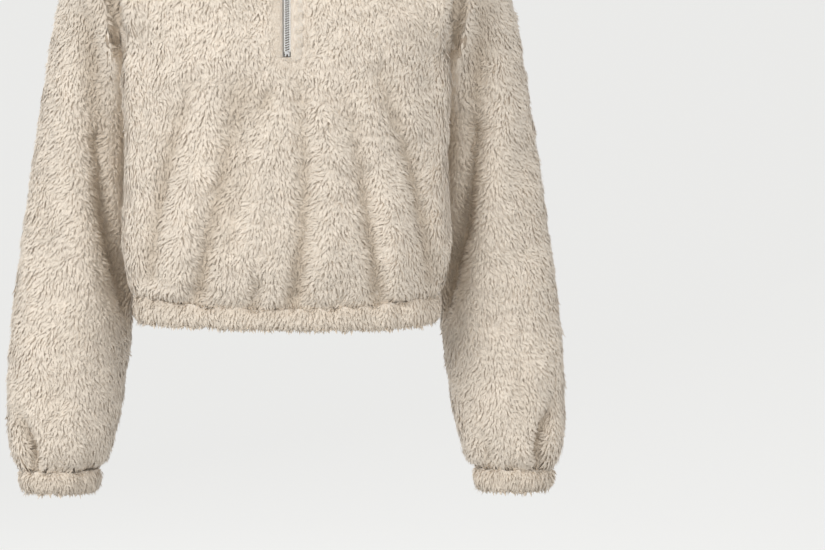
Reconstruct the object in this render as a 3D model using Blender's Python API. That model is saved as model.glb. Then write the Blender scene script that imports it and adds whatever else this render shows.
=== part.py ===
"""A half-zip pullover in deep cream pile fleece, standing out as it is worn, with nobody in it.

It is cut and sewn from a front with a slit for the zip, a back, two sleeves, a stand collar, and
casings of the same fleece that hold elastic at the hem and the cuffs. Every wall here is the whole
cloth, from the knitted ground on the inside to the tips of the pile on the outside.

Sizes in the tables are millimetres. +Z is up, the front faces -Y, and +X is the wearer's left.
The origin lies between the neck points, at the height where the shoulders carry the garment.
"""

import math

import bmesh
import bpy
from mathutils import Vector

MM = 0.001

# The cloth, and the gap that is left between one sewn piece and the next
CLOTH = 7.0
SEAM_GAP = 0.3
HALF_GAP = SEAM_GAP / 2
CASING_GAP = 0.45

# Torso sections from the hem seam up to the armpits, read at the side seam
# Squareness is the section's power: 2 is an ellipse, and more is boxier
TORSO_COLUMNS = ("z", "half_width", "front_y", "side_y", "back_y", "squareness")
TORSO_SECTIONS = [
    (-456.0, 167.6, -104.0, -24.0, 76.0, 2.3),
    (-447.0, 172.5, -111.0, -24.0, 80.0, 2.3),
    (-421.0, 177.5, -119.0, -25.0, 85.0, 2.3),
    (-393.0, 180.0, -122.0, -25.0, 87.0, 2.3),
    (-352.0, 177.5, -121.0, -23.0, 87.0, 2.3),
    (-311.0, 175.5, -120.0, -20.0, 89.0, 2.36),
    (-260.0, 174.5, -121.0, -14.0, 93.0, 2.52),
    (-206.0, 175.0, -122.0, -8.0, 100.0, 2.75),
]
CHEST = len(TORSO_SECTIONS) - 1
SHOULDER = CHEST + 1
YOKE_SQUARENESS = 2.75
YOKE_ROUND = 2 / YOKE_SQUARENESS
HEM_DROP = {-1: 13.0, 1: 5.0}

# Shoulders, neck and armholes
NECK_HALF_WIDTH = 74.0
NECK_Y = 6.0
NECK_DROP = {-1: 84.0, 1: 18.0}
NECK_DEPTH = {-1: 82.0, 1: 58.0}
NECK_BEND = 2.3
NECK_LEAN = 0.25
# How the chest's fullness dies away with height, at the neckline and out on the shoulder
SWELL_RISE = (1.6, 2.0)
SWELL_POWER = (1.0, 0.5)
SHOULDER_X = 190.0
SHOULDER_Y = 0.0
SHOULDER_Z = -45.0
# The armhole's distance from the centre, at even steps round it from the armpit to the shoulder
ARMHOLE_COLUMNS = ("x",)
ARMHOLE_SIDE = [
    (175.0,), (172.9,), (170.9,), (172.6,), (178.0,), (182.6,),
    (185.4,), (187.5,), (189.0,), (189.8,), (190.0,),
]
ARMHOLE_DEPTH = {-1: 78.0, 1: 68.0}

# Sleeve sections from the armhole to the cuff seam, as the arm hangs
SLEEVE_COLUMNS = ("outer_x", "outer_z", "inner_x", "inner_z", "mid_y", "half_depth")
SLEEVE_SECTIONS = [
    (190.0, -45.0, 175.0, -206.0, -9.0, 73.0),
    (212.0, -62.0, 180.0, -223.0, 1.0, 73.0),
    (233.0, -92.0, 178.5, -242.0, 15.0, 70.0),
    (246.5, -128.0, 173.5, -263.0, 28.0, 65.0),
    (256.5, -166.0, 169.5, -290.0, 38.0, 62.0),
    (264.0, -208.0, 167.5, -325.0, 44.0, 60.0),
    (270.5, -248.0, 167.0, -358.0, 47.0, 60.0),
    (277.5, -290.0, 167.5, -392.0, 49.0, 60.0),
    (284.0, -334.0, 168.5, -428.0, 49.0, 60.0),
    (291.0, -385.0, 169.5, -463.0, 49.0, 60.0),
    (297.5, -432.0, 171.0, -495.0, 48.0, 60.0),
    (303.5, -480.0, 174.0, -525.0, 46.0, 60.0),
    (307.5, -525.0, 178.0, -556.0, 43.0, 60.0),
    (309.3, -563.0, 182.0, -583.0, 40.0, 59.0),
    (309.0, -600.0, 187.5, -610.0, 37.0, 58.0),
    (307.0, -626.0, 193.0, -631.0, 35.0, 55.0),
    (303.0, -642.0, 199.0, -645.0, 34.0, 49.0),
    (297.0, -652.4, 208.0, -652.4, 33.0, 41.0),
]
CUFF_SEAM = len(SLEEVE_SECTIONS) - 1

# Elastic casings: outline of the folded strip, in from its face and down from its seam
CASING_COLUMNS = ("inward", "down")
CASING_OUTLINE = [
    (2.2, 0.0),
    (0.2, 0.20),
    (0.0, 0.52),
    (1.0, 0.80),
    (4.2, 0.97),
    (8.6, 1.0),
    (12.2, 0.80),
    (12.6, 0.25),
    (10.4, 0.0),
]
HEM_BAND_DEPTH = 28.5
HEM_BAND_SWELL = 1.4
CUFF_DEPTH = 27.0
CUFF_SWELL = 1.6

# Stand collar
COLLAR_TOP_HALF_WIDTH = 70.0
COLLAR_TOP_Y = 4.0
COLLAR_TOP_DEPTH = {-1: 80.0, 1: 54.0}
COLLAR_TOP_SIDE_Z = 32.0
COLLAR_TOP_RISE = {-1: -54.0, 1: 14.0}
COLLAR_TOP_BEND = 1.3

# Zip
SLIT_HALF_WIDTH = 6.5
TAPE_OUTER_X = 15.0
TAPE_INNER_X = 3.1
TAPE_THICKNESS = 1.0
TAPE_CLEARANCE = 0.9
CHAIN_HALF_WIDTH = 2.8
CHAIN_THICKNESS = 2.4
CHAIN_FOOT_Z = -199.0
TAPE_FOOT_STATION = CHEST - 0.12
TAPE_TOP_STATION = SHOULDER + 0.97
SLIDER_Z = -36.0
SLIDER_HEIGHT = 10.5
SLIDER_HALF_WIDTH = 4.3
SLIDER_PLATE = 1.3
SLIDER_WEB_HALF_WIDTH = 2.2
ZIP_FOOT_Z = -216.0
ZIP_FLAT = 20.0
STOP_HALF_WIDTH = 2.9
BOTTOM_STOP_HEIGHT = 4.4
BOTTOM_STOP_HALF_THICKNESS = 1.5
TOP_STOP_INNER_X = 0.5
TOP_STOP_ABOVE_SLIDER = 1.6
TOP_STOP_HEIGHT = 2.8
TOP_STOP_HALF_THICKNESS = 1.2
ARCH_HALF_WIDTH = 1.0
ARCH_REACH = 2.9
ARCH_SUNK = 0.4
ARCH_WIRE = 0.9
ARCH_CORNER = 0.8
ARCH_HALF_HEIGHT = 3.2
PULL_AXIS_REACH = 0.95
PULL_THICKNESS = 1.0
PULL_HALF_WIDTH = 2.7
PULL_LENGTH = 24.0
PULL_EYE_HALF_WIDTH = 1.5
PULL_EYE_LENGTH = 5.2
EYE_CUTTER_HALF_DEPTH = 2.0

# Folds: a centre line through three points, how deep it is at each, and its reach to the side.
# A depth above nought is a trough, one below nought is a ridge.
FOLD_COLUMNS = (
    "top_x", "top_z", "mid_x", "mid_z", "low_x", "low_z",
    "top_depth", "mid_depth", "low_depth", "reach",
)
FRONT_FOLDS = [
    (7.0, -215.0, 15.0, -345.0, -1.0, -474.0, 1.5, 4.0, 7.5, 12.0),
    (58.0, -255.0, 81.0, -360.0, 95.0, -470.0, 1.0, 5.5, 7.0, 13.0),
    (97.0, -227.0, 134.0, -335.0, 152.0, -436.0, 2.0, 5.0, 3.5, 13.0),
    (-31.0, -418.0, -35.0, -446.0, -41.0, -474.0, 0.5, 3.5, 6.0, 9.0),
    (-10.0, -220.0, -20.0, -243.0, -29.0, -264.0, 1.5, 2.8, 1.0, 11.0),
    (-54.0, -244.0, -61.0, -320.0, -61.0, -402.0, 1.5, 2.2, 1.2, 15.0),
    (62.0, -447.0, 54.0, -462.0, 45.0, -478.0, 1.0, 2.6, 3.0, 9.0),
    (-66.0, -300.0, -84.0, -385.0, -96.0, -470.0, 1.0, 4.5, 6.5, 13.0),
    (-104.0, -232.0, -132.0, -330.0, -149.0, -432.0, 2.0, 4.5, 3.5, 13.0),
    (-18.0, -270.0, -28.0, -339.0, -46.0, -400.0, -2.0, -3.5, -2.0, 17.0),
    (40.0, -275.0, 46.0, -350.0, 42.0, -430.0, -2.0, -4.5, -3.0, 18.0),
    (96.0, -318.0, 110.0, -388.0, 118.0, -452.0, -1.5, -4.0, -4.0, 14.0),
    (-100.0, -322.0, -110.0, -390.0, -120.0, -450.0, -1.5, -3.5, -4.0, 14.0),
]
BACK_FOLDS = [
    (-12.0, -300.0, -6.0, -385.0, -14.0, -462.0, 1.0, 4.0, 6.5, 14.0),
    (52.0, -262.0, 66.0, -365.0, 74.0, -462.0, 1.0, 4.5, 6.0, 14.0),
    (-48.0, -330.0, -66.0, -400.0, -70.0, -462.0, 1.0, 3.5, 5.5, 12.0),
    (112.0, -226.0, 126.0, -330.0, 140.0, -450.0, 2.0, 4.5, 4.5, 14.0),
    (-108.0, -240.0, -124.0, -345.0, -138.0, -450.0, 2.0, 5.0, 4.0, 14.0),
    (30.0, -320.0, 32.0, -390.0, 30.0, -445.0, -1.0, -3.5, -2.5, 17.0),
    (-100.0, -330.0, -98.0, -390.0, -102.0, -445.0, -1.0, -3.0, -3.0, 15.0),
    (96.0, -330.0, 100.0, -395.0, 108.0, -450.0, -1.0, -3.0, -3.0, 14.0),
    (0.0, -60.0, 0.0, -85.0, 0.0, -110.0, 1.0, 2.0, 1.0, 40.0),
]
SLEEVE_FRONT_FOLDS = [
    (219.0, -159.0, 211.0, -212.0, 202.0, -272.0, 3.0, 5.0, 3.5, 10.0),
    (208.0, -285.0, 207.0, -370.0, 188.0, -480.0, 3.0, 6.0, 5.0, 14.0),
    (243.0, -215.0, 233.0, -318.0, 213.0, -448.0, -2.5, -4.5, -3.0, 17.0),
    (266.0, -230.0, 262.0, -330.0, 258.0, -430.0, 1.0, 2.2, 1.0, 14.0),
    (248.0, -520.0, 255.0, -560.0, 262.0, -600.0, 1.0, 3.0, 2.0, 16.0),
    (286.0, -586.0, 274.0, -618.0, 271.0, -656.0, 3.0, 10.0, 6.0, 10.0),
    (213.0, -606.0, 218.0, -632.0, 223.0, -656.0, 1.0, 4.5, 5.0, 8.0),
    (246.0, -616.0, 246.0, -636.0, 247.0, -656.0, 0.5, 2.5, 3.5, 8.0),
]
SLEEVE_BACK_FOLDS = [
    (214.0, -150.0, 206.0, -205.0, 196.0, -262.0, 2.5, 4.5, 3.0, 11.0),
    (250.0, -250.0, 236.0, -345.0, 232.0, -440.0, 1.5, 4.5, 2.0, 14.0),
    (226.0, -300.0, 214.0, -390.0, 206.0, -470.0, -1.5, -3.5, -2.0, 15.0),
    (224.0, -596.0, 231.0, -625.0, 230.0, -656.0, 2.0, 7.0, 5.5, 10.0),
    (276.0, -600.0, 268.0, -630.0, 266.0, -656.0, 1.0, 5.0, 5.0, 9.0),
    (250.0, -470.0, 257.0, -520.0, 252.0, -575.0, 1.0, 3.5, 1.5, 15.0),
]
FOLD_FADE = 22.0
RIGHT_SLEEVE_FOLDS_LOWER = 12.0
# Folds die away at the sewn edges: shares of the way round, then stations or places along
SIDE_SEAM_FADE = 0.12
SHOULDER_SEAM_FADE = 0.3
HEM_SEAM_FADE = 1.2
HEM_SEAM_SHARE = 0.45
SLEEVE_SEAM_FADE = 1.5
CUFF_SEAM_SHARE = 0.5
SLEEVE_EDGE_FADE = 0.5

# How finely each piece is divided
FRONT_NECK_COLUMNS = 6
FRONT_SHOULDER_COLUMNS = 14
FRONT_ROWS = 14
BACK_NECK_COLUMNS = 5
BACK_SHOULDER_COLUMNS = 11
BACK_ROWS = 11
YOKE_ROWS = 12
SLEEVE_COLUMNS_ROUND = 2 * YOKE_ROWS
# Rings of the sleeve: how many, and between which places of its table
SLEEVE_COUNTS = [(4, 0.0, 2.0), (4, 2.0, 6.0), (9, 6.0, 12.0), (10, 12.0, float(CUFF_SEAM))]
BAND_COLUMNS = 62
CUFF_COLUMNS = 26
COLLAR_ROWS = 4

# Colours in linear light, then roughness and metallic
FLEECE_LOOK = ((0.70, 0.60, 0.48, 1.0), 0.95, 0.0)
TAPE_LOOK = ((0.78, 0.76, 0.71, 1.0), 0.85, 0.0)
METAL_LOOK = ((0.62, 0.62, 0.61, 1.0), 0.28, 1.0)


def smooth(value):
    value = min(max(value, 0.0), 1.0)
    return value * value * (3 - 2 * value)


def between(low, high, part):
    return low + (high - low) * part


def along(table, columns, place):
    """The row at a place between rows, on smooth curves through the table, as a dictionary."""
    last = len(table) - 1
    first = min(max(int(place), 0), last - 1)
    part = place - first
    before, start = table[max(first - 1, 0)], table[first]
    end, after = table[first + 1], table[min(first + 2, last)]
    row = {}
    for name, a, b, c, d in zip(columns, before, start, end, after):
        lift = (c - a) * part + (2 * a - 5 * b + 4 * c - d) * part**2
        row[name] = b + 0.5 * (lift + (3 * b - a - 3 * c + d) * part**3)
    return row


def full_depth(face, rise):
    """The depth of the section, from the line between its sides, before the yoke rounds it off."""
    middle_y = between(TORSO_SECTIONS[CHEST][3], SHOULDER_Y, rise)
    return TORSO_SECTIONS[CHEST][2 if face < 0 else 4] - middle_y


def end_angle(face, rise):
    """How far round its section a panel reaches before the armhole cuts it off."""
    rise = min(rise, 0.9999)
    middle_y = between(TORSO_SECTIONS[CHEST][3], SHOULDER_Y, rise)
    edge_y = armhole_y(face, rise)
    full_y = SHOULDER_Y + (edge_y - SHOULDER_Y) / yoke_swell(SHOULDER_X, rise)
    share = min(max((full_y - middle_y) / full_depth(face, rise), 0.0), 1.0)
    return math.acos(share ** (1 / YOKE_ROUND))


def yoke_half_width(face, rise):
    """Half the width that the section would have if it ran on past the armhole to its side."""
    return armhole_x(rise) / math.sin(end_angle(face, rise)) ** YOKE_ROUND


def armhole_x(rise):
    place = math.acos(1 - 2 * rise) / math.pi * (len(ARMHOLE_SIDE) - 1)
    return along(ARMHOLE_SIDE, ARMHOLE_COLUMNS, place)["x"]


def armhole_y(face, rise):
    middle_y = between(TORSO_SECTIONS[CHEST][3], SHOULDER_Y, rise)
    return middle_y + face * ARMHOLE_DEPTH[face] * math.sqrt(max(1 - (2 * rise - 1) ** 2, 0.0))


def armhole_point(face, rise):
    """The sewn edge of the armhole, which is round at the armpit and at the shoulder."""
    z = between(TORSO_SECTIONS[CHEST][0], SHOULDER_Z, rise)
    return Vector((armhole_x(rise), armhole_y(face, rise), z))


def armhole_inset(face, rise):
    """From the edge's outer corner to its inner one, mitred where the walls meet at an angle."""
    across = 2 * rise - 1
    reach = math.sqrt(max(1 - across**2, 0.0))
    mitre = ((1 - across) / 2) ** 2
    return Vector((-mitre, -face * reach, -across)) * CLOTH


def neck_part(x):
    return math.sqrt(max(1 - (x / NECK_HALF_WIDTH) ** 2, 0.0))


def top_y(face, x):
    if x < NECK_HALF_WIDTH:
        return NECK_Y + face * NECK_DEPTH[face] * neck_part(x)
    part = (x - NECK_HALF_WIDTH) / (SHOULDER_X - NECK_HALF_WIDTH)
    return between(NECK_Y, SHOULDER_Y, part)


def top_z(face, x):
    if x < NECK_HALF_WIDTH:
        return -NECK_DROP[face] * neck_part(x) ** NECK_BEND
    part = (x - NECK_HALF_WIDTH) / (SHOULDER_X - NECK_HALF_WIDTH)
    return SHOULDER_Z * part


def yoke_swell(x, rise):
    """How much of the chest's fullness is left at a height: a neckline slopes, a shoulder rounds."""
    part = smooth(x / NECK_HALF_WIDTH)
    return max(1 - rise ** between(*SWELL_RISE, part), 0.0) ** between(*SWELL_POWER, part)


def torso_point(face, part, station):
    """A point of the torso's outside. face is -1 in front and 1 behind, part runs from the
    centre to the side seam or armhole, station from the hem seam to the shoulder."""
    if station <= CHEST:
        row = along(TORSO_SECTIONS, TORSO_COLUMNS, station)
        angle = part * math.pi / 2
        power = 2 / row["squareness"]
        depth = (row["front_y"] if face < 0 else row["back_y"]) - row["side_y"]
        x = row["half_width"] * math.sin(angle) ** power
        y = row["side_y"] + depth * max(math.cos(angle), 0.0) ** power
        low, high = TORSO_SECTIONS[0][0], TORSO_SECTIONS[CHEST][0]
        drop = HEM_DROP[face] * math.cos(angle) ** 2 * (high - row["z"]) / (high - low)
        return Vector((x, y, row["z"] - drop))
    rise = station - CHEST
    angle = part * end_angle(face, rise)
    x = yoke_half_width(face, rise) * math.sin(angle) ** YOKE_ROUND
    middle_y = between(TORSO_SECTIONS[CHEST][3], SHOULDER_Y, rise)
    full_y = middle_y + full_depth(face, rise) * math.cos(angle) ** YOKE_ROUND
    edge_x = yoke_half_width(face, 1.0) * math.sin(part * end_angle(face, 1.0)) ** YOKE_ROUND
    upper_y = top_y(face, edge_x)
    y = upper_y + (full_y - upper_y) * yoke_swell(edge_x, rise)
    return Vector((x, y, between(TORSO_SECTIONS[CHEST][0], top_z(face, edge_x), rise)))


def part_at(face, x, station):
    """Where round the section a given distance from the centre lies."""
    if station <= CHEST:
        row = along(TORSO_SECTIONS, TORSO_COLUMNS, station)
        return math.asin((x / row["half_width"]) ** (row["squareness"] / 2)) / (math.pi / 2)
    rise = station - CHEST
    sine = (x / yoke_half_width(face, rise)) ** (1 / YOKE_ROUND)
    return math.asin(sine) / end_angle(face, rise)


def torso_normal(face, part, station):
    step = 0.02
    left = torso_point(face, max(part - step, 0.001), station)
    right = torso_point(face, min(part + step, 1.0), station)
    below = torso_point(face, part, max(station - step, 0.0))
    above = torso_point(face, part, min(station + step, SHOULDER))
    normal = (right - left).cross(above - below) * -face
    return normal.normalized()


def neck_inset(face, x):
    """From the outer to the inner corner of the neck edge, mitred to the collar's wall."""
    across = x / NECK_HALF_WIDTH
    lean = between(NECK_LEAN, 1.0, across**2)
    return Vector((-across, -face * neck_part(x), -lean)) * CLOTH


def torso_inset(face, part, station, point):
    """From the cloth's outside to its inside, with the edges cut to meet their neighbours."""
    if part >= 1.0 and station >= CHEST:
        return armhole_inset(face, station - CHEST)
    if part >= 1.0:
        return Vector((-CLOTH, 0.0, 0.0))
    if station >= SHOULDER:
        if point.x < NECK_HALF_WIDTH:
            return neck_inset(face, point.x)
        share = (SHOULDER_X - point.x) / (SHOULDER_X - NECK_HALF_WIDTH)
        return Vector((-share, 0.0, -1.0)) * CLOTH
    normal = torso_normal(face, part, station)
    if station <= 0.0:
        normal.z = 0.0
    if point.x <= SLIT_HALF_WIDTH + 0.01:
        normal.x = 0.0
    return normal.normalized() * -CLOTH


def fold_rows(table, lower=0.0):
    rows = [dict(zip(FOLD_COLUMNS, row)) for row in table]
    for row in rows:
        for name in ("top_z", "mid_z", "low_z"):
            row[name] -= lower
    return rows


def fold_depth(folds, x, z):
    """How far the folds that pass a place press the cloth in, seen from the front or behind."""
    depth = 0.0
    for fold in folds:
        length = fold["top_z"] - fold["low_z"]
        beyond = max(z - fold["top_z"], fold["low_z"] - z, 0.0)
        if beyond >= FOLD_FADE:
            continue
        down = min(max((fold["top_z"] - z) / length, 0.0), 1.0)
        bend = (fold["top_z"] - fold["mid_z"]) / length
        centre = (
            fold["top_x"] * (down - bend) * (down - 1) / bend
            + fold["mid_x"] * down * (1 - down) / (bend * (1 - bend))
            + fold["low_x"] * down * (down - bend) / (1 - bend)
        )
        if down < bend:
            deep = between(fold["top_depth"], fold["mid_depth"], down / bend)
        else:
            deep = between(fold["mid_depth"], fold["low_depth"], (down - bend) / (1 - bend))
        away = (x - centre) / fold["reach"]
        depth += deep * smooth(1 - beyond / FOLD_FADE) * math.exp(-away * away)
    return depth


def torso_shift(face, folds, side, part, station, point):
    """The folds' push at a place, which dies away at the sewn edges."""
    fade = smooth((1 - part) / SIDE_SEAM_FADE) * smooth((SHOULDER - station) / SHOULDER_SEAM_FADE)
    fade *= between(HEM_SEAM_SHARE, 1.0, smooth(station / HEM_SEAM_FADE))
    if face < 0:
        beside = smooth((point.x - TAPE_OUTER_X) / ZIP_FLAT)
        fade *= max(beside, smooth((ZIP_FOOT_Z - point.z) / ZIP_FLAT))
    normal = torso_normal(face, part, station)
    if station <= 0.0:
        normal.z = 0.0
    return normal * -fold_depth(folds, side * point.x, point.z) * fade


def spread(count, start, end):
    return [between(start, end, step / count) for step in range(count + 1)]


def torso_rows(rows):
    body = spread(rows, 0.0, CHEST)
    yoke = [CHEST + (1 - math.cos(math.pi * part)) / 2 for part in spread(YOKE_ROWS, 0.0, 1.0)]
    return body + yoke[1:]


def column_parts(face, neck_columns, shoulder_columns, first_x):
    """Column places as shares of the way to the side, with one on the neck point."""
    start = part_at(face, first_x, SHOULDER) if first_x else 0.0
    neck = (part_at(face, NECK_HALF_WIDTH, SHOULDER) - start) / (1 - start)
    return spread(neck_columns, 0.0, neck) + spread(shoulder_columns, neck, 1.0)[1:]


def torso_grid(face, folds, rows, shares, first_x):
    """Outer and inner points of a panel, from its wearer's-right edge to its left one."""
    outer, inner = [], []
    for station in torso_rows(rows):
        start = part_at(face, first_x, station) if first_x else 0.0
        halves = {}
        for side in (-1, 1):
            line = []
            for share in shares:
                part = start + (1 - start) * share
                point = torso_point(face, part, station)
                if share == 0.0 and first_x:
                    point.x = first_x
                inset = torso_inset(face, part, station, point)
                shift = torso_shift(face, folds, side, part, station, point)
                edge = Vector((0.0, 0.0, 0.0))
                if part >= 1.0:
                    edge = Vector((-HALF_GAP, face * HALF_GAP, 0.0))
                if station >= SHOULDER:
                    edge = Vector((-HALF_GAP, face * HALF_GAP, -HALF_GAP))
                outside = point + shift + edge
                pair = (outside, outside + inset)
                line.append([Vector((side * p.x, p.y, p.z)) for p in pair])
            halves[side] = line
        left = list(reversed(halves[-1]))
        line = left + (halves[1] if first_x else halves[1][1:])
        outer.append([pair[0] for pair in line])
        inner.append([pair[1] for pair in line])
    return outer, inner


def finish_piece(name, mesh, look, location=(0.0, 0.0, 0.0)):
    colour, roughness, metallic = look
    material = bpy.data.materials.new(name)
    material.use_nodes = True
    shader = material.node_tree.nodes["Principled BSDF"]
    shader.inputs["Base Color"].default_value = colour
    shader.inputs["Roughness"].default_value = roughness
    shader.inputs["Metallic"].default_value = metallic
    mesh.materials.append(material)
    piece = bpy.data.objects.new(name, mesh)
    piece.location = Vector(location) * MM
    pieces.objects.link(piece)
    return piece


def make_wall(name, outer, inner, look, closed=False, skip=None):
    """A sheet of cloth with its thickness, lofted through rows of outer and inner points."""
    bm = bmesh.new()
    layers = []
    for grid in (outer, inner):
        layers.append([[bm.verts.new(point * MM) for point in row] for row in grid])
    columns = len(outer[0])
    last = columns if closed else columns - 1
    edges = {}
    for r in range(len(outer) - 1):
        for c in range(last):
            if skip and skip(r, c):
                continue
            corners = [(r, c), (r, (c + 1) % columns), (r + 1, (c + 1) % columns), (r + 1, c)]
            bm.faces.new([layers[0][i][j] for i, j in corners])
            bm.faces.new([layers[1][i][j] for i, j in reversed(corners)])
            for start, end in zip(corners, corners[1:] + corners[:1]):
                if (end, start) in edges:
                    del edges[(end, start)]
                else:
                    edges[(start, end)] = True
    for ends in edges:
        ends = sorted(ends, key=lambda place: tuple(outer[place[0]][place[1]].zyx))
        (low_out, low_in), (high_out, high_in) = ([layer[i][j] for layer in layers] for i, j in ends)
        bm.faces.new((low_out, high_out, low_in))
        bm.faces.new((high_out, high_in, low_in))
    loose = [vert for vert in bm.verts if not vert.link_faces]
    bmesh.ops.delete(bm, geom=loose, context="VERTS")
    bmesh.ops.recalc_face_normals(bm, faces=bm.faces)
    mesh = bpy.data.meshes.new(name)
    bm.to_mesh(mesh)
    bm.free()
    mesh.shade_smooth()
    mesh.set_sharp_from_angle(angle=math.radians(50))
    return finish_piece(name, mesh, look)


def make_ring(name, rows, look):
    """A closed tube that runs round in a ring, such as a casing with its elastic."""
    bm = bmesh.new()
    verts = [[bm.verts.new(point * MM) for point in row] for row in rows]
    height, columns = len(rows), len(rows[0])
    for r in range(height):
        for c in range(columns):
            up, on = (r + 1) % height, (c + 1) % columns
            bm.faces.new((verts[r][c], verts[r][on], verts[up][on], verts[up][c]))
    bmesh.ops.recalc_face_normals(bm, faces=bm.faces)
    mesh = bpy.data.meshes.new(name)
    bm.to_mesh(mesh)
    bm.free()
    mesh.shade_smooth()
    return finish_piece(name, mesh, look)


def make_front_and_back():
    shares = column_parts(-1, FRONT_NECK_COLUMNS, FRONT_SHOULDER_COLUMNS, SLIT_HALF_WIDTH)
    outer, inner = torso_grid(-1, fold_rows(FRONT_FOLDS), FRONT_ROWS, shares, SLIT_HALF_WIDTH)
    slit_column = len(shares) - 1
    make_wall(
        "front", outer, inner, FLEECE_LOOK,
        skip=lambda row, column: column == slit_column and row >= FRONT_ROWS,
    )
    shares = column_parts(1, BACK_NECK_COLUMNS, BACK_SHOULDER_COLUMNS, 0.0)
    outer, inner = torso_grid(1, fold_rows(BACK_FOLDS), BACK_ROWS, shares, 0.0)
    make_wall("back", outer, inner, FLEECE_LOOK)


def sleeve_point(angle, place):
    """A point of the sleeve's outside: angle 0 is its outer edge and a quarter turn its front."""
    row = along(SLEEVE_SECTIONS, SLEEVE_COLUMNS, place)
    point = ring_point(row, angle)
    if place < 1.0:
        face = -1 if math.sin(angle) >= 0 else 1
        edge = armhole_point(face, (1 + math.cos(angle)) / 2)
        plain = ring_point(dict(zip(SLEEVE_COLUMNS, SLEEVE_SECTIONS[0])), angle)
        point += (edge - plain) * (1 - place) ** 2
    return point


def ring_point(row, angle):
    outer = Vector((row["outer_x"], row["mid_y"], row["outer_z"]))
    inner = Vector((row["inner_x"], row["mid_y"], row["inner_z"]))
    middle = (outer + inner) / 2
    depth = Vector((0.0, -row["half_depth"] * math.sin(angle), 0.0))
    return middle + (outer - inner) / 2 * math.cos(angle) + depth


def sleeve_normal(angle, place):
    turn, step = 0.03, 0.02
    round_it = sleeve_point(angle + turn, place) - sleeve_point(angle - turn, place)
    below = sleeve_point(angle, min(place + step, CUFF_SEAM))
    down_it = below - sleeve_point(angle, max(place - step, 0.0))
    normal = round_it.cross(down_it)
    if place >= CUFF_SEAM:
        normal.z = 0.0
    return normal.normalized()


def sleeve_places():
    places = [0.0]
    for rings, start, end in SLEEVE_COUNTS:
        places += spread(rings, start, end)[1:]
    return places


def make_sleeve(name, side, lower):
    front_folds = fold_rows(SLEEVE_FRONT_FOLDS, lower)
    back_folds = fold_rows(SLEEVE_BACK_FOLDS, lower)
    outer, inner = [], []
    for place in sleeve_places():
        outside, inside = [], []
        for step in range(SLEEVE_COLUMNS_ROUND):
            angle = 2 * math.pi * step / SLEEVE_COLUMNS_ROUND
            point = sleeve_point(angle, place)
            normal = sleeve_normal(angle, place)
            folds = front_folds if math.sin(angle) > 0 else back_folds
            facing = smooth(abs(math.sin(angle)) / SLEEVE_EDGE_FADE)
            fade = smooth((CUFF_SEAM - place) / SLEEVE_SEAM_FADE)
            facing *= smooth(place / SLEEVE_SEAM_FADE) * between(CUFF_SEAM_SHARE, 1.0, fade)
            point -= normal * fold_depth(folds, point.x, point.z) * facing
            inset = normal * -CLOTH
            if place == 0.0:
                face = -1 if math.sin(angle) >= 0 else 1
                inset = armhole_inset(face, (1 + math.cos(angle)) / 2)
                point.x += SEAM_GAP
            outside.append(Vector((side * point.x, point.y, point.z)))
            point += inset
            inside.append(Vector((side * point.x, point.y, point.z)))
        outer.append(outside)
        inner.append(inside)
    make_wall(name, outer, inner, FLEECE_LOOK, closed=True)


def casing_rows(outline_point, depth, swell, columns):
    """Rings of points for a casing. outline_point gives the seam line moved in by a distance."""
    rows = []
    for spot in (dict(zip(CASING_COLUMNS, row)) for row in CASING_OUTLINE):
        full = swell * math.sin(math.pi * spot["down"])
        ring = []
        for step in range(columns):
            angle = 2 * math.pi * step / columns
            point = outline_point(angle, spot["inward"] - full)
            ring.append(point - Vector((0.0, 0.0, CASING_GAP + spot["down"] * depth)))
        rows.append(ring)
    return rows


def hem_line(angle, inward):
    """The hem seam, from the centre front round to the wearer's left, moved in by a distance."""
    face = -1 if math.cos(angle) >= 0 else 1
    seam = dict(zip(TORSO_COLUMNS, TORSO_SECTIONS[0]))
    across, ahead = abs(math.sin(angle)), abs(math.cos(angle))
    power = 2 / seam["squareness"]
    depth = abs((seam["front_y"] if face < 0 else seam["back_y"]) - seam["side_y"])
    x = (seam["half_width"] - inward) * across**power
    y = seam["side_y"] + face * (depth - inward) * ahead**power
    z = seam["z"] - HEM_DROP[face] * ahead**2
    return Vector((math.copysign(x, math.sin(angle)), y, z))


def make_casings():
    rows = casing_rows(hem_line, HEM_BAND_DEPTH, HEM_BAND_SWELL, BAND_COLUMNS)
    make_ring("hem_band", rows, FLEECE_LOOK)
    seam = dict(zip(SLEEVE_COLUMNS, SLEEVE_SECTIONS[CUFF_SEAM]))
    middle_x = (seam["outer_x"] + seam["inner_x"]) / 2
    half_width = (seam["outer_x"] - seam["inner_x"]) / 2
    for name, side in (("cuff_left", 1), ("cuff_right", -1)):

        def cuff_line(angle, inward):
            x = side * (middle_x + (half_width - inward) * math.cos(angle))
            y = seam["mid_y"] - (seam["half_depth"] - inward) * math.sin(angle)
            return Vector((x, y, seam["outer_z"]))

        rows = casing_rows(cuff_line, CUFF_DEPTH, CUFF_SWELL, CUFF_COLUMNS)
        make_ring(name, rows, FLEECE_LOOK)


def collar_point(face, x, height):
    """The collar's outside above a place on the neck edge, height 0 at the seam, 1 at the top."""
    across, ahead = x / NECK_HALF_WIDTH, neck_part(x)
    low = Vector((x, top_y(face, x), top_z(face, x)))
    y = COLLAR_TOP_Y + face * COLLAR_TOP_DEPTH[face] * ahead
    z = COLLAR_TOP_SIDE_Z + COLLAR_TOP_RISE[face] * ahead**COLLAR_TOP_BEND
    high = Vector((COLLAR_TOP_HALF_WIDTH * across, y, z))
    point = low.lerp(high, height)
    point.x = max(point.x, SLIT_HALF_WIDTH) if face < 0 and x <= SLIT_HALF_WIDTH else point.x
    return point


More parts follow.
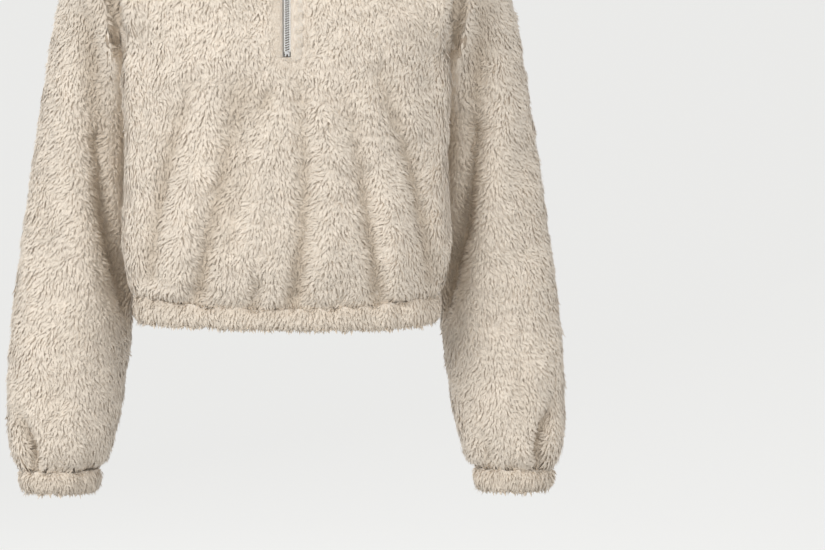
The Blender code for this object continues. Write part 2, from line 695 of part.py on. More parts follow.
def neck_columns(face, count, first_x):
    """The distances from the centre of the panel's columns along its neck edge."""
    start = part_at(face, first_x, SHOULDER) if first_x else 0.0
    neck = part_at(face, NECK_HALF_WIDTH, SHOULDER)
    parts = spread(count, start, neck)
    places = [torso_point(face, part, SHOULDER).x for part in parts]
    return [first_x] + places[1:-1] + [NECK_HALF_WIDTH]


def make_collar():
    front = neck_columns(-1, FRONT_NECK_COLUMNS, SLIT_HALF_WIDTH)
    back = neck_columns(1, BACK_NECK_COLUMNS, 0.0)
    left = [(-1, x, 1) for x in front] + [(1, x, 1) for x in reversed(back[:-1])]
    right = [(face, x, -1) for face, x, side in reversed(left[:-1])]
    outer, inner = [], []
    for height in spread(COLLAR_ROWS, 0.0, 1.0):
        outside, inside = [], []
        for face, x, side in left + right:
            point = collar_point(face, x, height)
            across, ahead = x / NECK_HALF_WIDTH, neck_part(x)
            inset = Vector((-across, -face * ahead, 0.0)) * CLOTH
            if height == 0.0:
                inset = neck_inset(face, x)
                point += Vector((-across, 0.0, 1.0)) * CASING_GAP
            if x <= SLIT_HALF_WIDTH and face < 0:
                inset.x = 0.0
            outside.append(Vector((side * point.x, point.y, point.z)))
            point += inset
            inside.append(Vector((side * point.x, point.y, point.z)))
        outer.append(outside)
        inner.append(inside)
    make_wall("collar", outer, inner, FLEECE_LOOK)


def zip_point(x, station, depth):
    """A place behind the front's surface. Past the shoulder station it runs up the collar."""
    if station <= SHOULDER:
        part = part_at(-1, x, station)
        normal = torso_normal(-1, part, min(station, SHOULDER - 0.06))
        normal.x = 0.0
        point = torso_point(-1, part, station)
        point.x = x
        if station >= SHOULDER:
            normal = Vector((0.0, -1.0, NECK_LEAN))
            return point - normal * depth
        return point - normal.normalized() * depth
    point = collar_point(-1, x, station - SHOULDER)
    point.x = x
    return point + Vector((0.0, depth, 0.0))


def station_at(z):
    """The station where the middle of the front or of the collar is at a height."""
    low, high = CHEST - 1.0, SHOULDER + 1.0
    for _ in range(40):
        middle = (low + high) / 2
        if zip_point(TAPE_INNER_X, middle, 0.0).z < z:
            low = middle
        else:
            high = middle
    return low


def zip_strip(name, columns, front, back, stations, look):
    """A strip of the zip, its faces at two depths behind the front's surface."""
    def row(station, depth):
        points = [zip_point(abs(x), station, depth) for x in columns]
        return [Vector((x, p.y, p.z)) for x, p in zip(columns, points)]

    outer = [row(station, front) for station in stations]
    inner = [row(station, back) for station in stations]
    return make_wall(name, outer, inner, look)


def make_box(name, low, high):
    """A box between two corners, on the zip's metal."""
    low, high = Vector(low), Vector(high)
    bm = bmesh.new()
    bmesh.ops.create_cube(bm, size=1.0)
    bmesh.ops.scale(bm, vec=(high - low) * MM, verts=bm.verts)
    bmesh.ops.translate(bm, vec=(low + high) / 2 * MM, verts=bm.verts)
    mesh = bpy.data.meshes.new(name)
    bm.to_mesh(mesh)
    bm.free()
    return mesh


def make_prism(name, outline, shift, plane):
    """A flat outline drawn in a plane and pushed out by a distance."""
    bm = bmesh.new()
    base = bm.faces.new([bm.verts.new(plane(a, b) * MM) for a, b in outline])
    made = bmesh.ops.extrude_face_region(bm, geom=[base])["geom"]
    moved = [item for item in made if isinstance(item, bmesh.types.BMVert)]
    bmesh.ops.translate(bm, vec=Vector(shift) * MM, verts=moved)
    bmesh.ops.recalc_face_normals(bm, faces=bm.faces)
    mesh = bpy.data.meshes.new(name)
    bm.to_mesh(mesh)
    bm.free()
    return mesh


def tool_object(name, mesh):
    tool = bpy.data.objects.new(name, mesh)
    tool.hide_render = True
    tool.display_type = "WIRE"
    cutters.objects.link(tool)
    return tool


def combine(piece, tool, operation):
    modifier = piece.modifiers.new(operation.lower(), "BOOLEAN")
    modifier.operation = operation
    modifier.solver = "EXACT"
    modifier.object = tool


def make_tapes_and_chain():
    front = CLOTH + TAPE_CLEARANCE
    back = front + TAPE_THICKNESS
    middle = (front + back) / 2
    columns = (TAPE_INNER_X, SLIT_HALF_WIDTH, TAPE_OUTER_X)
    stations = spread(8, TAPE_FOOT_STATION, SHOULDER) + spread(3, SHOULDER, TAPE_TOP_STATION)[1:]
    zip_strip("zip_tape_left", columns, front, back, stations, TAPE_LOOK)
    zip_strip("zip_tape_right", [-x for x in reversed(columns)], front, back, stations, TAPE_LOOK)
    half = CHAIN_THICKNESS / 2
    slider_foot = SLIDER_Z - SLIDER_HEIGHT / 2
    stations = spread(7, station_at(CHAIN_FOOT_Z), SHOULDER)
    stations += spread(2, SHOULDER, station_at(slider_foot - SEAM_GAP))[1:]
    width = (-CHAIN_HALF_WIDTH, CHAIN_HALF_WIDTH)
    zip_strip("zip_chain", width, middle - half, middle + half, stations, METAL_LOOK)
    half = BOTTOM_STOP_HALF_THICKNESS
    stop_top = CHAIN_FOOT_Z - SEAM_GAP
    stations = (station_at(stop_top - BOTTOM_STOP_HEIGHT), station_at(stop_top))
    width = (-STOP_HALF_WIDTH, STOP_HALF_WIDTH)
    zip_strip("zip_bottom_stop", width, middle - half, middle + half, stations, METAL_LOOK)


def make_slider_and_pull():
    middle = CLOTH + TAPE_CLEARANCE + TAPE_THICKNESS / 2
    y = zip_point(TAPE_INNER_X, station_at(SLIDER_Z), middle).y
    slot = TAPE_THICKNESS / 2 + SEAM_GAP
    face = slot + SLIDER_PLATE
    web, wide = SLIDER_WEB_HALF_WIDTH, SLIDER_HALF_WIDTH
    quarter = [(wide, face), (wide, slot), (web, slot)]
    right = quarter + [(a, -b) for a, b in reversed(quarter)]
    outline = right + [(-a, -b) for a, b in right]
    foot = SLIDER_Z - SLIDER_HEIGHT / 2

    def level(a, b):
        return Vector((a, y + b, foot))

    body = make_prism("zip_slider", outline, (0, 0, SLIDER_HEIGHT), level)
    slider = finish_piece("zip_slider", body, METAL_LOOK)
    sunk, reach, tall = ARCH_SUNK, ARCH_REACH, ARCH_HALF_HEIGHT
    wire, corner = ARCH_WIRE, ARCH_CORNER
    upper = [
        (reach, tall - corner), (reach - corner, tall), (-sunk, tall),
        (-sunk, tall - wire), (reach - wire, tall - wire),
    ]
    arch = upper + [(a, -b) for a, b in reversed(upper)]

    def upright(a, b):
        return Vector((-ARCH_HALF_WIDTH, y - face - a, SLIDER_Z + b))

    loop = make_prism("slider_arch", arch, (2 * ARCH_HALF_WIDTH, 0, 0), upright)
    combine(slider, tool_object("slider_arch", loop), "UNION")
    axis = Vector((0.0, y - face - PULL_AXIS_REACH, SLIDER_Z))
    half = PULL_THICKNESS / 2
    plate = make_box(
        "zip_pull",
        (-PULL_HALF_WIDTH, -half, half - PULL_LENGTH),
        (PULL_HALF_WIDTH, half, half),
    )
    pull = finish_piece("zip_pull", plate, METAL_LOOK, axis)
    eye = make_box(
        "pull_eye",
        (-PULL_EYE_HALF_WIDTH, -EYE_CUTTER_HALF_DEPTH, -half - PULL_EYE_LENGTH),
        (PULL_EYE_HALF_WIDTH, EYE_CUTTER_HALF_DEPTH, -half),
    )
    hole = tool_object("pull_eye", eye)
    hole.location = axis * MM
    combine(pull, hole, "DIFFERENCE")
    stop_foot = SLIDER_Z + SLIDER_HEIGHT / 2 + TOP_STOP_ABOVE_SLIDER
    for name, side in (("zip_top_stop_left", 1), ("zip_top_stop_right", -1)):
        ends = sorted((side * TOP_STOP_INNER_X, side * STOP_HALF_WIDTH))
        low = (ends[0], y - TOP_STOP_HALF_THICKNESS, stop_foot)
        high = (ends[1], y + TOP_STOP_HALF_THICKNESS, stop_foot + TOP_STOP_HEIGHT)
        finish_piece(name, make_box(name, low, high), METAL_LOOK)


for old in list(bpy.data.objects):
    bpy.data.objects.remove(old, do_unlink=True)
pieces = bpy.data.collections.new("fleece_top")
cutters = bpy.data.collections.new("cutters")
for collection in (pieces, cutters):
    bpy.context.scene.collection.children.link(collection)

make_front_and_back()
make_sleeve("sleeve_left", 1, 0.0)
make_sleeve("sleeve_right", -1, RIGHT_SLEEVE_FOLDS_LOWER)
make_casings()
make_collar()
make_tapes_and_chain()
make_slider_and_pull()
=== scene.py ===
"""The looks of a half-zip pullover in deep cream pile fleece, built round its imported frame."""

import math

import bmesh
import bpy
import numpy as np
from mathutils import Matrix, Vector


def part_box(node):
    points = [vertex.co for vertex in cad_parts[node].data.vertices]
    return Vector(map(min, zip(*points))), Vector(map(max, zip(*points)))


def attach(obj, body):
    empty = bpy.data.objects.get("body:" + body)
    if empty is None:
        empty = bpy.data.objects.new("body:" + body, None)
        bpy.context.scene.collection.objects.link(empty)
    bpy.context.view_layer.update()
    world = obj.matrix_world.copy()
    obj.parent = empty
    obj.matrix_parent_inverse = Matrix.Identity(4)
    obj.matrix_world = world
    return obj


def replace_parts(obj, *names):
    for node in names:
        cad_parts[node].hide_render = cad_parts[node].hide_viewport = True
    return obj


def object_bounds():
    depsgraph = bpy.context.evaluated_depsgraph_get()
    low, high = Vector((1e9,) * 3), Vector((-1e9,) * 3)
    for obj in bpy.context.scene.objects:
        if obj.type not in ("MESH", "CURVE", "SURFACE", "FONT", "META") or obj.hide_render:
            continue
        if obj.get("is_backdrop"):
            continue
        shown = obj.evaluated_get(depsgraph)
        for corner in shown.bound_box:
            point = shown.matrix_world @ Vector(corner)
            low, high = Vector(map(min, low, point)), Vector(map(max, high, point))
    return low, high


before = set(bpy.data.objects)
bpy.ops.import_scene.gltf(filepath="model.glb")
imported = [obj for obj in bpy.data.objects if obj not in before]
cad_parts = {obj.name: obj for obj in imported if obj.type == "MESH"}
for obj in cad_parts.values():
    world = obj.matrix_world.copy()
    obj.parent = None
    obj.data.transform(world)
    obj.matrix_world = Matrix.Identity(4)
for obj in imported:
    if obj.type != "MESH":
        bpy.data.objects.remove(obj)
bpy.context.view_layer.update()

# The studio: a long lens three metres in front, and a pale floor that curves up into a wall all
# round, so that nothing but even grey lies behind the garment from any side. Soft light comes from
# a wide lamp in front and above, and the walls send it back.
MM = 0.001
CAMERA_PLACE = (0.0, -3.0, -0.340)
CAMERA_AIM = (0.13805, 0.0, -0.4389)
CAMERA_REACH = 60.0
LENS = 119.0
FLOOR_Z = -1.42
COVE_RADIUS = 6.4
COVE_BEND = 1.6
COVE_HEIGHT = 6.5
COVE_STEPS = 12
COVE_TURNS = 96
COVE_WELD = 0.0005
COVE_COLOUR = (0.42, 0.42, 0.415, 1.0)
COVE_GLOW = 1.28
AIR_COLOUR = (0.9, 0.9, 0.89, 1.0)
AIR_STRENGTH = 0.6
LAMP_COLUMNS = ("place", "aim", "size", "watts")
LAMPS = {
    "key_lamp": ((-2.6, -2.8, 1.1), (0.05, 0.0, -0.35), 2.4, 92.0),
    "side_lamp": ((2.6, -2.4, 0.5), (0.1, 0.0, -0.35), 2.4, 33.0),
    "rear_lamp": ((-1.2, 3.4, 1.8), (0.0, 0.0, -0.35), 2.2, 90.0),
}


def show(name, data):
    """A new object in the scene."""
    thing = bpy.data.objects.new(name, data)
    bpy.context.scene.collection.objects.link(thing)
    return thing


def look_at(thing, place, aim):
    thing.location = place
    thing.rotation_euler = (Vector(aim) - Vector(place)).to_track_quat("-Z", "Y").to_euler()


def build_nodes(tree, made, kinds, links):
    """Adds shader nodes by name, each with its settings, and links them as "from.out > to.in"."""
    for name, (kind, settings) in kinds.items():
        made[name] = node = tree.nodes.new(kind)
        for key, value in settings.items():
            if key == "stops":
                for place, colour in value[1:-1]:
                    node.color_ramp.elements.new(place)
                for stop, (place, colour) in zip(node.color_ramp.elements, value):
                    stop.position = place
                    stop.color = colour
            elif isinstance(key, int) or key in node.inputs:
                node.inputs[key].default_value = value
            else:
                setattr(node, key, value)
    for link in links:
        start, out, end, into = (
            int(word) if word.isdigit() else word
            for spot in link.split(" > ") for word in spot.split(".")
        )
        tree.links.new(made[start].outputs[out], made[end].inputs[into])


def make_material(name, finish, kinds, links):
    """A material from its shader's own settings, its nodes and their links."""
    material = bpy.data.materials.new(name)
    material.use_nodes = True
    shader = material.node_tree.nodes["Principled BSDF"]
    for key, value in finish.items():
        shader.inputs[key].default_value = value
    build_nodes(material.node_tree, {"shader": shader}, kinds, links)
    return material


def make_cove():
    bm = bmesh.new()
    inner = COVE_RADIUS - COVE_BEND
    outline = [(0.0, 0.0), (inner / 2, 0.0)]
    for step in range(COVE_STEPS + 1):
        angle = math.pi / 2 * step / COVE_STEPS
        outline.append((inner + COVE_BEND * math.sin(angle), COVE_BEND * (1 - math.cos(angle))))
    outline.append((COVE_RADIUS, COVE_HEIGHT))
    verts = [bm.verts.new((x, 0.0, FLOOR_Z + z)) for x, z in outline]
    edges = [bm.edges.new(pair) for pair in zip(verts, verts[1:])]
    bmesh.ops.spin(
        bm, geom=verts + edges, cent=(0, 0, 0), axis=(0, 0, 1), angle=2 * math.pi,
        steps=COVE_TURNS, use_merge=True, use_duplicate=False,
    )
    bmesh.ops.remove_doubles(bm, verts=bm.verts, dist=COVE_WELD)
    bmesh.ops.recalc_face_normals(bm, faces=bm.faces)
    mesh = bpy.data.meshes.new("studio_cove")
    bm.to_mesh(mesh)
    bm.free()
    mesh.shade_smooth()
    mesh.materials.append(make_material("studio_paper", {
        "Base Color": COVE_COLOUR, "Roughness": 0.95,
        "Emission Color": COVE_COLOUR, "Emission Strength": COVE_GLOW,
    }, {}, []))
    cove = show("studio_cove", mesh)
    cove.visible_diffuse = False
    cove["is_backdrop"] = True


camera_data = bpy.data.cameras.new("camera")
camera_data.lens = LENS
camera_data.clip_end = CAMERA_REACH
camera = show("camera", camera_data)
look_at(camera, CAMERA_PLACE, CAMERA_AIM)
bpy.context.scene.camera = camera
for lamp_name, row in LAMPS.items():
    lamp_facts = dict(zip(LAMP_COLUMNS, row))
    lamp_data = bpy.data.lights.new(lamp_name, "AREA")
    lamp_data.shape = "DISK"
    lamp_data.size = lamp_facts["size"]
    lamp_data.energy = lamp_facts["watts"]
    lamp = show(lamp_name, lamp_data)
    lamp.visible_camera = False
    look_at(lamp, lamp_facts["place"], lamp_facts["aim"])
world = bpy.data.worlds.new("studio_air")
world.use_nodes = True
world.node_tree.nodes["Background"].inputs["Color"].default_value = AIR_COLOUR
world.node_tree.nodes["Background"].inputs["Strength"].default_value = AIR_STRENGTH
bpy.context.scene.world = world
bpy.context.scene.view_settings.view_transform = "Standard"
make_cove()

# The fleece: a knitted ground, 3.8 mm thick with the foot of its pile, and a deep, wavy pile that
# lies down the cloth in locks. The pile is dyed cream, and it has a soft sheen along the tips. Its
# locks carry painted shade in folds and creases, and are painted a little lighter at the roots.
PILE_DEPTH = 2.7
GROUND_THICKNESS = 3.8
GROUND_WELD = 0.00002
GROUND_STEP = 2
RIPPLE_WAVES = 14
RIPPLE_SPREAD = (0.65, 1.5)
LOCK_SPACING = 2.46
ROOT_JITTER = 0.36
ROOT_IN_ROW = (0.05, 0.95)
ROOT_SUNK = 0.5
LOCK_LENGTH = 10.5
LOCK_LENGTH_RANGE = (0.72, 1.22)
LOCK_WIDTH = 1.6
LOCK_WIDTH_RANGE = (0.7, 1.25)
LOCK_HEIGHT = 0.42
LOCK_HEIGHT_RANGE = (0.8, 1.2)
LOCK_RISE = 22.0
LOCK_RISE_SWELL = 4.0
LOCK_RISE_STRAY = 7.0
LOCK_TIP_RISE = 7.0
LOCK_TIP_STRAY = 9.0
LOCK_BELLY = 0.42
LOCK_SWAY = 0.12
LOCK_STRAY_DEG = 8.0
LOCK_SHEEN = 4.0
LOCK_TIP_SHEEN = 0.4
LOCK_FACES = np.array([(0, 1, 2), (0, 2, 3), (0, 3, 1), (4, 2, 1), (4, 3, 2), (4, 1, 3)])
LOCK_UNDER_FACES = (0, 3)
LOCK_ALONG = (0.0, 0.45, 0.45, 0.62, 1.0)
LOCK_ACROSS = (0.0, -1.0, 1.0, 0.0, 0.0)
CALM_RISE = 0.5
CALM_LENGTH = 0.75
SWIRL_SMALL_MM = 20.0
SWIRL_LARGE_MM = 65.0
SWIRL_SMALL_DEG = 15.0
SWIRL_LARGE_DEG = 10.0
SIDE_FLOW = 1.7
TONE_STRAY = 0.22
TONE_PATCH = 0.1
# Painted light: the roots are a little lighter than the belly and tip, which lifts the shade down among
# the locks.
ROOT_COLOUR = (0.88, 0.79, 0.68, 1.0)
BELLY_COLOUR = (0.84, 0.745, 0.63, 1.0)
TIP_COLOUR = (0.85, 0.755, 0.64, 1.0)
# Painted shade: the warm, darker colour towards which locks in folds, creases and other shaded places
# are multiplied.
PAINTED_SHADE_TINT = (0.74, 0.70, 0.65, 1.0)
SHEEN_TINT = (1.0, 0.96, 0.9, 1.0)
FELT_COLOURS = {"Dark": (0.70, 0.60, 0.49, 1.0), "Light": ROOT_COLOUR}
GROUND_COLOURS = {"Dark": (0.44, 0.345, 0.25, 1.0), "Light": (0.60, 0.49, 0.38, 1.0)}


def smooth(value):
    value = np.clip(value, 0.0, 1.0)
    return value * value * (3 - 2 * value)


def between(low, high, part):
    return low + (high - low) * part


def unit(vectors):
    return vectors / np.maximum(np.linalg.norm(vectors, axis=-1, keepdims=True), 1e-9)


def turned(normals, way):
    """Normals, all turned over where together they face against a way."""
    return normals * np.sign((normals * way).sum())


def ripple(points, wavelength, seed):
    """Smooth noise through space, about -2 to 2, from a few crossing waves."""
    rng = np.random.default_rng(seed)
    ways = unit(rng.normal(size=(RIPPLE_WAVES, 3)))
    steep = 2 * math.pi / (wavelength * rng.uniform(*RIPPLE_SPREAD, RIPPLE_WAVES))
    phase = rng.uniform(0, 2 * math.pi, RIPPLE_WAVES)
    sway = np.sin(points @ (ways * steep[:, None]).T + phase)
    return sway.sum(-1) * math.sqrt(2 / RIPPLE_WAVES)


def make_two_tones():
    """A node group that mixes two tones of a finish by a pattern, between two of its values."""
    group = bpy.data.node_groups.new("two_tones", "ShaderNodeTree")
    for name, kind in (
        ("Pattern", "Float"), ("Low", "Float"), ("High", "Float"), ("Dark", "Color"), ("Light", "Color"),
    ):
        group.interface.new_socket(name, in_out="INPUT", socket_type=f"NodeSocket{kind}")
    group.interface.new_socket("Color", in_out="OUTPUT", socket_type="NodeSocketColor")
    build_nodes(group, {}, {
        "given": ("NodeGroupInput", {}),
        "share": ("ShaderNodeMapRange", {}),
        "mix": ("ShaderNodeMix", {"data_type": "RGBA"}),
        "result": ("NodeGroupOutput", {}),
    }, [
        "given.Pattern > share.Value", "given.Low > share.From Min", "given.High > share.From Max",
        "share.Result > mix.Factor", "given.Dark > mix.A", "given.Light > mix.B",
        "mix.Result > result.Color",
    ])
    return group


def two_toned(colours, low=0.0, high=1.0):
    return "ShaderNodeGroup", {"node_tree": two_tones, "Low": low, "High": high, **colours}


def map_range(low, high, to_low, to_high):
    values = {"From Min": low, "From Max": high, "To Min": to_low, "To Max": to_high}
    return "ShaderNodeMapRange", values


two_tones = make_two_tones()
# The locks: each has its own tone, with painted shade in the valleys, and fine fibres along it.
pile_material = make_material("cream_pile", {
    "Roughness": 0.72, "Specular IOR Level": 0.25, "Sheen Weight": 0.5, "Sheen Roughness": 0.45,
    "Sheen Tint": SHEEN_TINT,
}, {
    "lock": ("ShaderNodeAttribute", {"attribute_name": "lock"}),
    "parts": ("ShaderNodeSeparateXYZ", {}),
    # Painted light: lighter at the roots, where the shade among the locks falls.
    "along": ("ShaderNodeValToRGB", {
        "stops": [(0.0, ROOT_COLOUR), (0.42, BELLY_COLOUR), (1.0, TIP_COLOUR)],
    }),
    # Painted shade: each lock's colour is multiplied towards a warm, darker colour by its shade share.
    "deep": ("ShaderNodeMix", {"data_type": "RGBA", "blend_type": "MULTIPLY", "B": PAINTED_SHADE_TINT}),
    "place": ("ShaderNodeTexCoord", {}),
    "patches": ("ShaderNodeTexNoise", {"Scale": 22.0, "Detail": 2.0}),
    "width": ("ShaderNodeAttribute", {"attribute_name": "across"}),
    "comb": ("ShaderNodeCombineXYZ", {}),
    "spread": ("ShaderNodeVectorMath", {"operation": "MULTIPLY", 1: (2.6, 1.1, 37.0)}),
    "strands": ("ShaderNodeTexNoise", {"Scale": 2.0, "Detail": 2.0}),
    "fibre": map_range(0.3, 0.7, 0.92, 1.07),
    "value": map_range(0.0, 1.0, 0.93, 1.06),
    "drift": map_range(0.3, 0.7, 0.96, 1.04),
    "of_lock": ("ShaderNodeMath", {"operation": "MULTIPLY"}),
    "both": ("ShaderNodeMath", {"operation": "MULTIPLY"}),
    "tone": ("ShaderNodeHueSaturation", {}),
    "bump": ("ShaderNodeBump", {"Strength": 0.6, "Distance": 0.0005}),
}, [
    "lock.Vector > parts.0", "parts.X > along.Fac", "parts.Y > value.Value",
    "place.Object > patches.Vector", "width.Fac > comb.0", "parts.X > comb.1", "parts.Y > comb.2",
    "comb.Vector > spread.0", "spread.Vector > strands.Vector", "strands.Fac > fibre.Value",
    "fibre.Result > of_lock.0", "value.Result > of_lock.1", "patches.Fac > drift.Value",
    "of_lock.Value > both.0", "drift.Result > both.1", "both.Value > tone.Value",
    "along.Color > tone.Color", "parts.Z > deep.Factor", "tone.Color > deep.A",
    "deep.Result > shader.Base Color", "strands.Fac > bump.Height", "bump.Normal > shader.Normal",
])
# The foot of the pile, seen between the locks, combed down the cloth.
felt_material = make_material("pile_foot", {"Roughness": 0.9, "Sheen Weight": 0.3}, {
    "uv": ("ShaderNodeUVMap", {}),
    "comb": ("ShaderNodeMapping", {"Scale": (620.0, 150.0, 1.0)}),
    "strands": ("ShaderNodeTexNoise", {"Scale": 1.0, "Detail": 2.0, "Distortion": 0.4}),
    "tint": two_toned(FELT_COLOURS, 0.3, 0.7),
    "bump": ("ShaderNodeBump", {"Strength": 0.7, "Distance": 0.0012}),
}, [
    "uv.UV > comb.Vector", "comb.Vector > strands.Vector", "strands.Fac > tint.Pattern",
    "strands.Fac > bump.Height", "tint.Color > shader.Base Color", "bump.Normal > shader.Normal",
])
# The knitted ground, seen inside the garment.
ground_material = make_material("knitted_ground", {"Roughness": 0.9, "Sheen Weight": 0.2}, {
    "uv": ("ShaderNodeUVMap", {}),
    "wales": ("ShaderNodeTexWave", {"Scale": 120.0, "Distortion": 0.6, "Detail": 1.0}),
    "courses": ("ShaderNodeTexWave", {
        "Scale": 150.0, "Distortion": 0.8, "Detail": 1.0, "bands_direction": "Y",
    }),
    "knit": ("ShaderNodeMath", {"operation": "MULTIPLY"}),
    "noise": ("ShaderNodeTexNoise", {"Scale": 60.0, "Detail": 3.0}),
    "tint": two_toned(GROUND_COLOURS),
    "bump": ("ShaderNodeBump", {"Strength": 0.5, "Distance": 0.0005}),
}, [
    "uv.UV > wales.Vector", "uv.UV > courses.Vector", "uv.UV > noise.Vector",
    "wales.Fac > knit.0", "courses.Fac > knit.1", "knit.Value > bump.Height",
    "noise.Fac > tint.Pattern", "tint.Color > shader.Base Color", "bump.Normal > shader.Normal",
])


def falling(normals):
    """The way down a surface, which is how its pile lies."""
    return unit(normals * normals[..., 2:3] - (0.0, 0.0, 1.0))


def grid_normals(points, closed=False):
    """Unit normals of a grid of points, whose columns may close in a ring."""
    if closed:
        wrapped = np.concatenate([points[:, -2:-1], points, points[:, 1:2]], axis=1)
        across = np.gradient(wrapped, axis=1)[:, 1:-1]
    else:
        across = np.gradient(points, axis=1)
    up = np.gradient(points, axis=0)
    return unit(np.cross(across, up))


def add_piece(name, data, body):
    """A new piece in the scene, on its body and with its finish."""
    piece = show(name, data)
    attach(piece, body)
    return piece


def make_ground(name, skin, normals, step, size, closed=False, hole=None, tube=False):
    """The knitted ground under the pile, as a wall through every few points of the skin."""
    rows, columns = (sorted({*range(0, count, step), count - 1}) for count in skin.shape[:2])
    bm = bmesh.new()
    bmesh.ops.create_grid(bm, x_segments=len(columns) - 1, y_segments=len(rows) - 1, size=1.0)
    bm.verts.ensure_lookup_table()
    uv = bm.loops.layers.uv.new("UVMap")
    for vert in bm.verts:
        r, c = divmod(vert.index, len(columns))
        vert.co = Vector(skin[rows[r], columns[c]]) * MM
    for face in bm.faces:
        for loop in face.loops:
            r, c = divmod(loop.vert.index, len(columns))
            loop[uv].uv = (size[0] * c / (len(columns) - 1), size[1] * r / (len(rows) - 1))
    if hole is not None:
        gone = [f for f in bm.faces if all(hole[rows[i]][columns[j]] for i, j in
                (divmod(v.index, len(columns)) for v in f.verts))]
        bmesh.ops.delete(bm, geom=gone, context="FACES")
    if closed:
        bmesh.ops.remove_doubles(bm, verts=bm.verts, dist=GROUND_WELD)
    middle = (skin.shape[0] // 2, skin.shape[1] // 4)
    spot = Vector(skin[middle]) * MM
    nearest = min(bm.faces, key=lambda f: (f.calc_center_median() - spot).length)
    if nearest.normal.dot(Vector(normals[middle])) < 0:
        bmesh.ops.reverse_faces(bm, faces=bm.faces)
    mesh = bpy.data.meshes.new(name)
    bm.to_mesh(mesh)
    bm.free()
    mesh.shade_smooth()
    mesh.materials.append(felt_material)
    mesh.materials.append(ground_material)
    piece = add_piece(name, mesh, "garment")
    if not tube:
        wall = piece.modifiers.new("wall", "SOLIDIFY")
        wall.thickness = GROUND_THICKNESS * MM
        wall.offset = -1.0
        wall.material_offset = 1
    return piece


def pile_roots(skin, density, seed):
    """Even but irregular places for locks, as fractional rows and columns of the skin's grid."""
    rng = np.random.default_rng(seed)
    along_u = skin[:-1, 1:] - skin[:-1, :-1]
    along_v = skin[1:, :-1] - skin[:-1, :-1]
    area = np.linalg.norm(np.cross(along_u, along_v), axis=-1) * density[:-1, :-1]
    rows, columns, left_over = [], [], 0.0
    for r in range(area.shape[0]):
        total = np.concatenate([[0.0], np.cumsum(area[r])])
        wanted = total[-1] / LOCK_SPACING**2 + left_over
        count = int(wanted)
        left_over = wanted - count
        if not count:
            continue
        spots = np.arange(count) + rng.uniform(0, 1)
        spots = (spots + rng.uniform(-ROOT_JITTER, ROOT_JITTER, count)) % count
        columns.append(np.interp(spots / count * total[-1], total, np.arange(len(total))))
        rows.append(r + rng.uniform(*ROOT_IN_ROW, count))
    return np.concatenate(rows), np.concatenate(columns)


def read_grid(grid, rows, columns):
    """Values of a grid between its points."""
    r = np.clip(rows.astype(int), 0, grid.shape[0] - 2)
    c = np.clip(columns.astype(int), 0, grid.shape[1] - 2)
    v, u = rows - r, columns - c
    if grid.ndim == 3:
        v, u = v[:, None], u[:, None]
    low = grid[r, c] * (1 - u) + grid[r, c + 1] * u
    high = grid[r + 1, c] * (1 - u) + grid[r + 1, c + 1] * u
    return low * (1 - v) + high * v


def stacked_mesh(name, points, faces):
    """One mesh from many copies of a small form, each with its own points in millimetres."""
    count, size = points.shape[:2]
    corners = (faces[None] + size * np.arange(count)[:, None, None]).reshape(-1)
    mesh = bpy.data.meshes.new(name)
    mesh.vertices.add(count * size)
    mesh.vertices.foreach_set("co", (points * MM).astype(np.float32).ravel())
    mesh.loops.add(len(corners))
    mesh.loops.foreach_set("vertex_index", corners.astype(np.int32))
    mesh.polygons.add(len(corners) // 3)
    mesh.polygons.foreach_set("loop_start", np.arange(0, len(corners), 3, dtype=np.int32))
    mesh.update(calc_edges=True)
    return mesh


